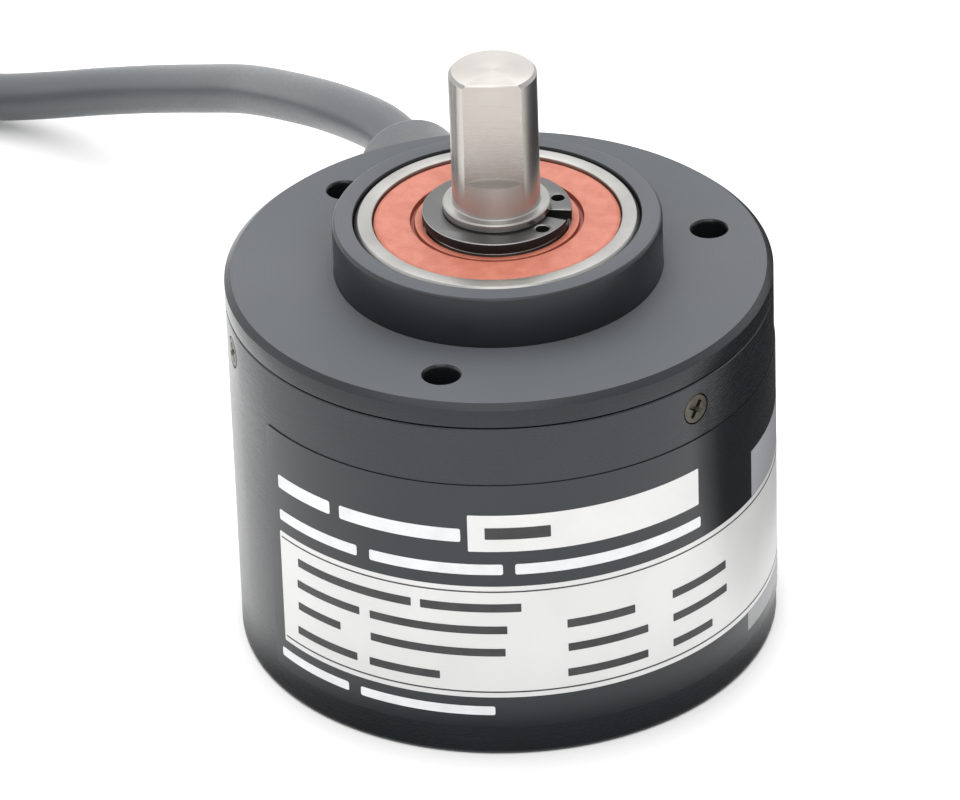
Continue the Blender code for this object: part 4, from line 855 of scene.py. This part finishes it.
# Cover and its countersunk screws
COVER_INNER_RADIUS = 23.8
COVER_FLOOR = 1.6
COVER_FLOOR_FILLET = 0.4
COVER_TOP_FILLET = 0.15
COVER_FOOT_FILLET = 0.3
COVER_HOLE = (4.1, 21.8, 27.0)
SINK_DEPTH = 3.2
SCREW_PLAY = 0.1
SCREW_HEAD = (1.4, 0.2, 0.7)  # radius, depth of the straight edge, depth of the cone
SCREW_SHANK = (0.9, 4.0)  # radius and depth
RECESS_SIZES = (2.4, 0.6, 1.2)
RECESS_TAPER = 0.55
FIRST_RECESS_ANGLE = 55.0
RECESS_ANGLE_STEP = 35.0


def thread_cutter():
    """A tapped hole, open at the height 0, with the thread as a row of ridges."""
    crest = THREAD_RADIUS + THREAD_RISE * THREAD_PITCH
    mouth = crest + MOUTH_BEVEL
    corners = [(0, CUT_OVER), (mouth, CUT_OVER), (mouth, 0.0), (crest, -MOUTH_BEVEL)]
    for i in range(int(THREAD_DEPTH / THREAD_PITCH)):
        corners.append((THREAD_RADIUS, -THREAD_PITCH * (i + 0.5)))
        corners.append((crest, -THREAD_PITCH * (i + 1.0)))
    corners += [(THREAD_RADIUS, -THREAD_DEPTH), (0, -THREAD_DEPTH - DRILL_POINT)]
    return lathe("thread", corners, THREAD_STEPS)


def flange_cutters():
    mouths = [upright(angle, HOLE_CIRCLE_RADIUS, MOUNT_FACE) for angle in HOLE_ANGLES]
    studs = [upright(angle, STANDOFF_CIRCLE_RADIUS, PLATE_BASE) for angle in STANDOFF_ANGLES]
    threads = [moved(thread_cutter(), place) for place in mouths]
    holes = [(SCREW_HOLE, radial(angle, 0, SCREW_HEIGHT)) for angle in SCREW_ANGLES]
    holes.append((GLAND_NOTCH, radial(GLAND_ANGLE, 0, GLAND_HEIGHT)))
    holes += [(STUD_HOLE, place) for place in studs]
    for side in (-1, 1):
        beside = side * polar(EAR_SPACING / 2, OPTIC_ANGLE + 90)
        place = polar(OPTIC_RADIUS, OPTIC_ANGLE, PLATE_BASE) + beside
        holes.append((GRIP_HOLE, Matrix.Translation(place * MM)))
    return threads + [moved(rod(*sizes), place) for sizes, place in holes]


def make_flange():
    seam = BOSS_RADIUS + SEAM_GAP
    bevel_width, bevel_depth = RIM_BEVEL
    groove, groove_low, groove_top = O_RING_GROOVE
    mesh = lathe("flange", [
        (seam, MOUNT_FACE),
        (BODY_RADIUS - bevel_width, MOUNT_FACE, RIM_FILLET),
        (BODY_RADIUS, MOUNT_FACE - bevel_depth, RIM_FILLET),
        (BODY_RADIUS, RIM_BASE, 2 * RIM_FILLET),
        (SPIGOT_RADIUS, RIM_BASE),
        (SPIGOT_RADIUS, groove_top),
        (groove, groove_top),
        (groove, groove_low),
        (SPIGOT_RADIUS, groove_low),
        (SPIGOT_RADIUS, PLATE_BASE),
        (seam, PLATE_BASE),
    ], BODY_STEPS)
    flange = piece("flange", carved(mesh, flange_cutters()), "housing_black", nodes=["flange_base"])
    # Painted light: the flange's up-facing faces keep the lighter housing look, its walls take the darker
    # rim look
    paint_faces(flange, "rim_black", lambda face: abs(face.normal.z) < FLAT_NORMAL)


def make_boss():
    """The bearings' housing, whose top stands out of the flange."""
    mouth_width, mouth_depth = SEAT_MOUTH
    sleeve, sleeve_low, sleeve_top = SLEEVE
    shoulder, shoulder_low, shoulder_top = SHOULDER
    mesh = lathe("boss", [
        (SEAT_RADIUS + mouth_width, BOSS_TOP, 0.05),
        (BOSS_RADIUS, BOSS_TOP, BOSS_FILLET),
        (BOSS_RADIUS, sleeve_top),
        (sleeve, sleeve_top),
        (sleeve, sleeve_low),
        (SEAT_RADIUS, sleeve_low),
        (SEAT_RADIUS, shoulder_low),
        (shoulder, shoulder_low),
        (shoulder, shoulder_top),
        (SEAT_RADIUS, shoulder_top),
        (SEAT_RADIUS, BOSS_TOP - mouth_depth, 0.05),
    ], BODY_STEPS)
    boss = piece("boss", mesh, "housing_black", look="boss_black", nodes=["bearing_cartridge"])
    # Painted light: the boss's up-facing faces take the lighter housing look, its walls the darker boss
    # look
    paint_faces(boss, "housing_black", lambda face: face.normal.z > FLAT_NORMAL)


def countersink():
    (head, edge, cone), (shank, end) = SCREW_HEAD, SCREW_SHANK
    return lathe("countersink", [
        (0, CUT_OVER),
        (head + SCREW_PLAY, CUT_OVER),
        (head + SCREW_PLAY, -edge),
        (shank + SCREW_PLAY, -cone),
        (shank + SCREW_PLAY, -SINK_DEPTH),
        (0, -SINK_DEPTH),
    ], SMALL_STEPS)


def make_cover():
    mesh = lathe("cover_shell", [
        (0, COVER_FLOOR),
        (COVER_INNER_RADIUS, COVER_FLOOR, COVER_FLOOR_FILLET),
        (COVER_INNER_RADIUS, COVER_TOP),
        (BODY_RADIUS, COVER_TOP, COVER_TOP_FILLET),
        (BODY_RADIUS, 0, COVER_FOOT_FILLET),
        (0, 0),
    ], BODY_STEPS)
    tools = [moved(countersink(), radial(angle, BODY_RADIUS, SCREW_HEIGHT)) for angle in SCREW_ANGLES]
    tools.append(moved(rod(*COVER_HOLE), radial(GLAND_ANGLE, 0, GLAND_HEIGHT)))
    piece("cover_shell", carved(mesh, tools), "housing_black", look="cover_black", nodes=["cover"])


def cross_recess():
    """A tapered cross, whose lower half is sunk below the height 0."""
    width, slot, height = RECESS_SIZES
    bars = [block(size, RECESS_TAPER) for size in ((width, slot, height), (slot, width, height))]
    return carved(bars[0], [bars[1]], "UNION")


def cross_screw():
    (head, edge, cone), (shank, end) = SCREW_HEAD, SCREW_SHANK
    mesh = lathe("cover_screw_head", [
        (0, 0),
        (head, 0, 0.12),
        (head, -edge),
        (shank, -cone),
        (shank, -end, 0.2),
        (0, -end),
    ], SMALL_STEPS)
    return carved(mesh, [cross_recess()])


def make_cover_screws():
    for i, angle in enumerate(SCREW_ANGLES):
        mesh = cross_screw()
        tilt = Matrix.Rotation(math.radians(FIRST_RECESS_ANGLE + RECESS_ANGLE_STEP * i), 4, "Z")
        moved(mesh, radial(angle, BODY_RADIUS, SCREW_HEIGHT) @ tilt)
        piece(f"cross_screw_{i + 1}", mesh, "screw_steel", nodes=[f"cover_screw_{i + 1}"])


# Label: patches as first and last angle in degrees, low and high edge in millimetres

FILM = (227.0, 415.0, 3.0, 28.8)
PANEL = (230.7, 411.0, 6.3, 18.2)
WHITE_BOX = (277.5, 329.0, 21.9, 25.7)
END_PATCHES = (
    (348.3, 411.0, 18.25, 23.1),
    (346.0, 411.0, 4.3, 6.25),
)
PANEL_RULES = (
    (231.3, 410.4, 17.55, 17.7),
    (231.3, 410.4, 6.8, 6.95),
)

# Rows of plain bars: low and high edge of the row, first and last angle of each bar
PALE_ROWS = (
    (22.3, 24.8, ((231.0, 246.5), (249.0, 276.0))),
    (19.0, 21.0, ((231.0, 253.0), (256.0, 284.5), (287.0, 329.5))),
    (4.0, 5.7, ((229.5, 249.5), (252.5, 282.0))),
)
DARK_ROWS = (
    (22.7, 24.9, ((281.0, 294.5),)),
    (15.1, 16.7, ((236.5, 265.0), (267.0, 288.0))),
    (12.8, 14.3, ((236.0, 253.0), (255.5, 285.0))),
    (10.4, 11.9, ((236.0, 248.0), (255.5, 284.5))),
    (7.7, 9.2, ((235.5, 252.0), (255.0, 270.7))),
    (12.9, 14.5, ((297.4, 312.3), (321.5, 337.3))),
    (10.4, 11.9, ((297.5, 315.3), (321.6, 337.6))),
    (7.7, 9.2, ((297.3, 315.2), (321.5, 332.7))),
)
BAR_SHARE = 0.55  # a bar's height, as a share of its row

# Inner and outer radius of the film, of what is printed on it, and of the bars on the panel
FILM_SHELL = (25.05, 25.115)
PRINT_SHELL = (25.10, 25.13)
BAR_SHELL = (25.12, 25.145)

# Facets of a patch: shares of its corner's radius, and the length of the others
CORNER_SHARES = (0.0, 0.1, 0.3, 0.6)
PATCH_STEP = 0.6


def patch_columns(width, corner):
    """Places of a patch's facet edges along it, closer together at its rounded corners."""
    edge = [corner * share for share in CORNER_SHARES]
    count = max(1, round((width - 2 * corner) / PATCH_STEP))
    middle = [corner + (width - 2 * corner) * i / count for i in range(count + 1)]
    return [*edge, *middle, *(width - e for e in reversed(edge))]


def add_patch(shape, patch, shell, corner):
    """A thin patch on the cover, with rounded corners, as a closed shell."""
    start, end, low, high = patch
    inner, outer = shell
    degree = math.radians(outer)
    width = (end - start) * degree
    columns = []
    for x in patch_columns(width, corner):
        near = min(x, width - x, corner)
        inset = corner - math.sqrt(max(corner**2 - (corner - near) ** 2, 0.0))
        angle = start + x / degree
        bottom, top = low + inset, high - inset
        places = ((inner, bottom), (outer, bottom), (outer, top), (inner, top))
        columns.append([shape.verts.new(polar(radius, angle, height) * MM) for radius, height in places])
    for a, b in zip(columns, columns[1:]):
        for k in range(4):
            shape.faces.new((a[k], a[(k + 1) % 4], b[(k + 1) % 4], b[k]))
    shape.faces.new(columns[0])
    shape.faces.new(columns[-1])


def make_print(name, patches, look, shell, corner, nodes=()):
    shape = bmesh.new()
    for patch in patches:
        add_patch(shape, patch, shell, corner)
    piece(name, mesh_from(name, shape), "label_film", look, nodes=nodes)


def plain_bars(rows):
    """Bars that stand for lines of words, thinner than the rows that they fill."""
    bars = []
    for low, high, spans in rows:
        half = (high - low) * BAR_SHARE / 2
        middle = (low + high) / 2
        bars += [(start, end, middle - half, middle + half) for start, end in spans]
    return bars


def make_label():
    dark_bars = [*plain_bars(DARK_ROWS), *PANEL_RULES]
    make_print("label_base", [FILM], "label_film", FILM_SHELL, 0.6, nodes=["label"])
    make_print("label_panel", [PANEL], "silver_foil", PRINT_SHELL, 0.15)
    make_print("label_box", [WHITE_BOX], "white_film", PRINT_SHELL, 0.1)
    make_print("label_end_patches", END_PATCHES, "grey_foil", PRINT_SHELL, 0.1)
    make_print("label_pale_bars", plain_bars(PALE_ROWS), "pale_ink", PRINT_SHELL, 0.2)
    make_print("label_dark_bars", dark_bars, "dark_ink", BAR_SHELL, 0.07)


# Front bearing, in millimetres

BEARING_MIDDLE = 37.7
BALL_CIRCLE_RADIUS = 9.0
RACEWAY_RADIUS = 2.58
RACEWAY_STEPS = 8
OUTER_RACE_RADII = (11.35, 13.0)
OUTER_RACE_HEIGHTS = (33.7, 41.93)
OUTER_RACE_BEVEL = (0.35, 0.43)  # across and down
OUTER_RACE_RIB = (10.9, 34.9, 40.5)  # radius and heights
INNER_RACE_RADII = (5.0, 7.0)
INNER_RACE_HEIGHTS = (33.7, 41.7)
INNER_RACE_STEP = (6.5, 40.8)  # radius and height
SEAL_RADII = (6.75, 11.2)
SEAL_HEIGHTS = (40.65, 41.75)
SEAL_LIP_BACK = (7.05, 41.10)  # radius and height
GROOVE_RADII = (7.54, 7.82)
GROOVE_FLOOR = 41.25
GROOVE_SLANT = 0.08
# The groove's faces, found by these ranges of radius and height, are painted darker as shade
GROOVE_REACH = (7.4, 8.0)  # range of radius of the groove's faces
GROOVE_HEIGHTS = (41.2, 41.62)


def raceway(start, end):
    """Ball groove of a ring, as points at the bearing's own middle."""
    points = arc(RACEWAY_RADIUS, start, end, RACEWAY_STEPS, (BALL_CIRCLE_RADIUS, 0.0))
    return [(x, y + BEARING_MIDDLE) for x, y in points]


def make_outer_race():
    (inner, outer), (low, top) = OUTER_RACE_RADII, OUTER_RACE_HEIGHTS
    bevel_width, bevel_depth = OUTER_RACE_BEVEL
    rib, rib_low, rib_top = OUTER_RACE_RIB
    mesh = lathe("bearing_outer_race", [
        (inner, top, 0.1),
        (outer - bevel_width, top, 0.06),
        (outer, top - bevel_depth, 0.06),
        (outer, low, 0.3),
        (inner, low, 0.1),
        (inner, rib_low),
        (rib, rib_low),
        *raceway(-42.5, 42.5),
        (rib, rib_top),
        (inner, rib_top),
    ], RING_STEPS)
    piece("bearing_outer_race", mesh, "bearing_steel", nodes=["front_outer_ring"])


def make_inner_race():
    (inner, outer), (low, top) = INNER_RACE_RADII, INNER_RACE_HEIGHTS
    step, step_height = INNER_RACE_STEP
    mesh = lathe("bearing_inner_race", [
        (inner, top, 0.25),
        (step, top, 0.1),
        (step, step_height),
        (outer, step_height),
        *raceway(141.0, 219.0),
        (outer, low, 0.15),
        (inner, low, 0.25),
    ], RING_STEPS)
    piece("bearing_inner_race", mesh, "bearing_steel", body="rotor", nodes=["front_inner_ring"])


def in_seal_groove(face):
    radius, height = face.center.xy.length / MM, face.center.z / MM
    near, far = GROOVE_REACH
    low, high = GROOVE_HEIGHTS
    return near < radius < far and low < height < high


def make_seal():
    """The bearing's seal, with a lip at the shaft and a groove round the lip, whose faces are painted
    darker as shade.
    """
    (inner, outer), (low, top) = SEAL_RADII, SEAL_HEIGHTS
    lip, lip_low = SEAL_LIP_BACK
    groove_start, groove_end = GROOVE_RADII
    mesh = lathe("bearing_seal", [
        (inner, top - 0.20, 0.06),
        (groove_start - GROOVE_SLANT, top - 0.09, 0.05),
        (groove_start, GROOVE_FLOOR, 0.04),
        (groove_end, GROOVE_FLOOR, 0.04),
        (groove_end + GROOVE_SLANT, top, 0.06),
        (outer - 0.30, top, 0.12),
        (outer, top - 0.13, 0.06),
        (outer, low),
        (lip, low),
        (lip, lip_low),
        (inner, lip_low),
    ], RING_STEPS)
    seal = piece("bearing_seal", mesh, "seal_rubber", nodes=["front_upper_seal"])
    # Painted shade: the groove's faces take the darker seal look
    paint_faces(seal, "seal_shade", in_seal_groove)


# Shaft and its retaining ring, in millimetres and degrees

SHAFT_TOP = 57.0
SHAFT_END = 14.15
SHAFT_RADIUS = 4.0
SHAFT_BEVEL = 0.3
JOURNAL_RADIUS = 4.9
JOURNAL_TOP = 43.7
JOURNAL_BEVEL = 0.12
RING_GROOVE_RADIUS = 4.6
RING_GROOVE = (41.75, 42.95)  # heights
COLLAR_RADIUS = 6.4
COLLAR = (20.95, 22.25)  # heights
FLAT_ANGLE = -77.0
FLAT_OFFSET = 3.0
FLAT_LENGTH = 10.0
FLAT_CUT = (3.0, 12.0, 12.0)  # depth, width and height of the tool
EDGE_BREAK = 0.1
BREAK_CUT = (1.0, 12.0, 1.0)
SNAP_RADII = (4.7, 6.8)
SNAP_MIDDLE = 42.35
SNAP_THICKNESS = 1.0
SNAP_BEVEL = 0.16
SNAP_HALF_GAP = 7.5
SNAP_STEPS = 96
EAR_ANGLE = 30.0
EAR_HOLE_RADIUS = 0.6
EAR_HOLE_STEPS = 24


def flat_tool():
    depth, width, height = FLAT_CUT
    middle = SHAFT_TOP - FLAT_LENGTH + height / 2
    return moved(block(FLAT_CUT), upright(FLAT_ANGLE, FLAT_OFFSET + depth / 2, middle))


def edge_tool():
    """Breaks the edge between the shaft's flat and its end."""
    shift = Matrix.Translation(((BREAK_CUT[0] / 2 - EDGE_BREAK) * MM, 0, 0))
    outwards = Matrix.Rotation(-math.pi / 4, 4, "Y") @ shift
    return moved(block(BREAK_CUT), upright(FLAT_ANGLE, FLAT_OFFSET, SHAFT_TOP) @ outwards)


def on_flat(face):
    facing = polar(1, FLAT_ANGLE)
    return face.normal.dot(facing) > 0.99 and face.center.dot(facing) < (FLAT_OFFSET + 0.1) * MM


# Up-facing steps and bevels below the shaft's end, which take a darker steel as painted shade
def on_step(face):
    return face.normal.z > WALL_NORMAL and face.center.z < (SHAFT_TOP - 0.02) * MM


def make_shaft():
    groove_low, groove_top = RING_GROOVE
    collar_low, collar_top = COLLAR
    mesh = lathe("turned_shaft", [
        (0, SHAFT_TOP),
        (SHAFT_RADIUS - SHAFT_BEVEL, SHAFT_TOP, 0.08),
        (SHAFT_RADIUS, SHAFT_TOP - SHAFT_BEVEL, 0.08),
        (SHAFT_RADIUS, JOURNAL_TOP, 0.12),
        (JOURNAL_RADIUS - JOURNAL_BEVEL, JOURNAL_TOP, 0.04),
        (JOURNAL_RADIUS, JOURNAL_TOP - JOURNAL_BEVEL, 0.04),
        (JOURNAL_RADIUS, groove_top, 0.05),
        (RING_GROOVE_RADIUS, groove_top),
        (RING_GROOVE_RADIUS, groove_low),
        (JOURNAL_RADIUS, groove_low),
        (JOURNAL_RADIUS, collar_top),
        (COLLAR_RADIUS, collar_top, 0.15),
        (COLLAR_RADIUS, collar_low, 0.15),
        (SHAFT_RADIUS, collar_low),
        (SHAFT_RADIUS, SHAFT_END + SHAFT_BEVEL),
        (SHAFT_RADIUS - SHAFT_BEVEL, SHAFT_END),
        (0, SHAFT_END),
    ], RING_STEPS)
    mesh = carved(carved(mesh, [flat_tool()]), [edge_tool()])
    shaft = piece("turned_shaft", mesh, "shaft_steel", body="rotor", nodes=["shaft"])
    paint_faces(shaft, "ground_steel", on_flat)
    # Painted shade: the up-facing steps take the darker bearing steel
    paint_faces(shaft, "bearing_steel", on_step)


def ear_hole(angle):
    middle = polar(sum(SNAP_RADII) / 2, angle)
    return arc(EAR_HOLE_RADIUS, 0, 360 - 360 / EAR_HOLE_STEPS, EAR_HOLE_STEPS - 1, middle)


def make_retaining_ring():
    """A black snap ring whose upper edge bevels are painted bright steel as a highlight, and whose walls
    and underside are painted darker as shade.
    """
    inner, outer = SNAP_RADII
    start, end = SNAP_HALF_GAP, 360 - SNAP_HALF_GAP
    outline = arc(outer, start, end, SNAP_STEPS) + arc(inner, end, start, SNAP_STEPS)
    outlines = [outline, *(ear_hole(side * EAR_ANGLE) for side in (-1, 1))]
    mesh = plate("snap_ring", outlines, SNAP_THICKNESS, SNAP_BEVEL)
    moved(mesh, Matrix.Translation((0, 0, SNAP_MIDDLE * MM)))
    ring = piece("snap_ring", mesh, "black_steel", body="rotor", nodes=["retaining_ring"])
    # Painted highlight: the upward bevels take bright steel
    paint_faces(ring, "bearing_steel", lambda face: WALL_NORMAL < face.normal.z < FLAT_NORMAL)
    # Painted shade: the walls and underside take the darker copy of the black steel
    paint_faces(ring, "shaded_black_steel", lambda face: face.normal.z < WALL_NORMAL)


# Stage


def aim_from(obj, place, aim, roll=0.0):
    """Puts a camera or a light at a place, turned to another, with a roll in degrees."""
    obj.location = place
    obj.rotation_mode = "QUATERNION"
    turn = Quaternion((0, 0, 1), math.radians(roll))
    obj.rotation_quaternion = (aim - place).to_track_quat("-Z", "Y") @ turn


def make_camera():
    data = bpy.data.cameras.new("camera")
    data.lens = CAMERA_LENS
    data.sensor_width = SENSOR_WIDTH
    data.clip_end = VIEW_END
    camera = add_object("camera", data)
    aim_from(camera, CAMERA_PLACE, CAMERA_AIM, CAMERA_ROLL)
    bpy.context.scene.camera = camera


def make_floor():
    shape = bmesh.new()
    bmesh.ops.create_circle(shape, cap_ends=True, radius=FLOOR_RADIUS, segments=FLOOR_STEPS)
    floor = add_object("floor", mesh_from("floor", shape))
    floor.data.materials.append(LOOKS["pale_floor"])


def make_lights():
    for name, (place, size, power) in SOFT_BOXES.items():
        data = bpy.data.lights.new(name, "AREA")
        data.shape = "RECTANGLE"
        data.size, data.size_y = size
        data.energy = power
        aim_from(add_object(name, data), studio(*place), LIGHT_AIM)


def make_card(name, look, edges, span):
    """A curved card round the object, which shows in reflections only: a painted dark or bright
    reflection.
    """
    start, end = span
    shape = bmesh.new()
    columns = []
    for i in range(CARD_STEPS + 1):
        turn = math.radians(start + (end - start) * i / CARD_STEPS)
        right, back = math.sin(turn), -math.cos(turn)
        columns.append([shape.verts.new(studio(r * right, r * back, height)) for r, height in edges])
    for a, b in zip(columns, columns[1:]):
        shape.faces.new((a[0], b[0], b[1], a[1]))
    card = add_object(name, mesh_from(name, shape))
    card.data.materials.append(look)
    card.visible_camera = card.visible_diffuse = card.visible_shadow = False


def make_cards():
    for name, (look, edges, span) in CARDS.items():
        make_card(name, LOOKS[look], edges, span)


def make_world():
    """A pale room, brighter behind and above the object than in front of it."""
    world = bpy.data.worlds.new("studio")
    room = NodeTree(world)
    way = room.node("ShaderNodeTexCoord").outputs["Generated"]
    facing = room.vector_math("DOT_PRODUCT", way, studio(*ROOM_BRIGHT_WAY).normalized())["Value"]
    inputs = {"Value": facing, **ROOM_RAMP}
    ramp = room.node("ShaderNodeMapRange", inputs, interpolation_type="SMOOTHSTEP")
    background = room.tree.nodes["Background"]
    room.feed(background.inputs["Strength"], ramp.outputs["Result"])
    room.feed(background.inputs["Color"], (1.0, 1.0, 1.0))
    bpy.context.scene.world = world


def make_stage():
    make_floor()
    make_lights()
    make_cards()
    make_world()
    settings = bpy.context.scene.view_settings
    settings.view_transform = "Standard"
    settings.look = "None"


make_camera()
dress_nodes()
make_cable()
make_flange()
make_boss()
make_cover()
make_cover_screws()
make_label()
make_outer_race()
make_inner_race()
make_seal()
make_shaft()
make_retaining_ring()
make_stage()
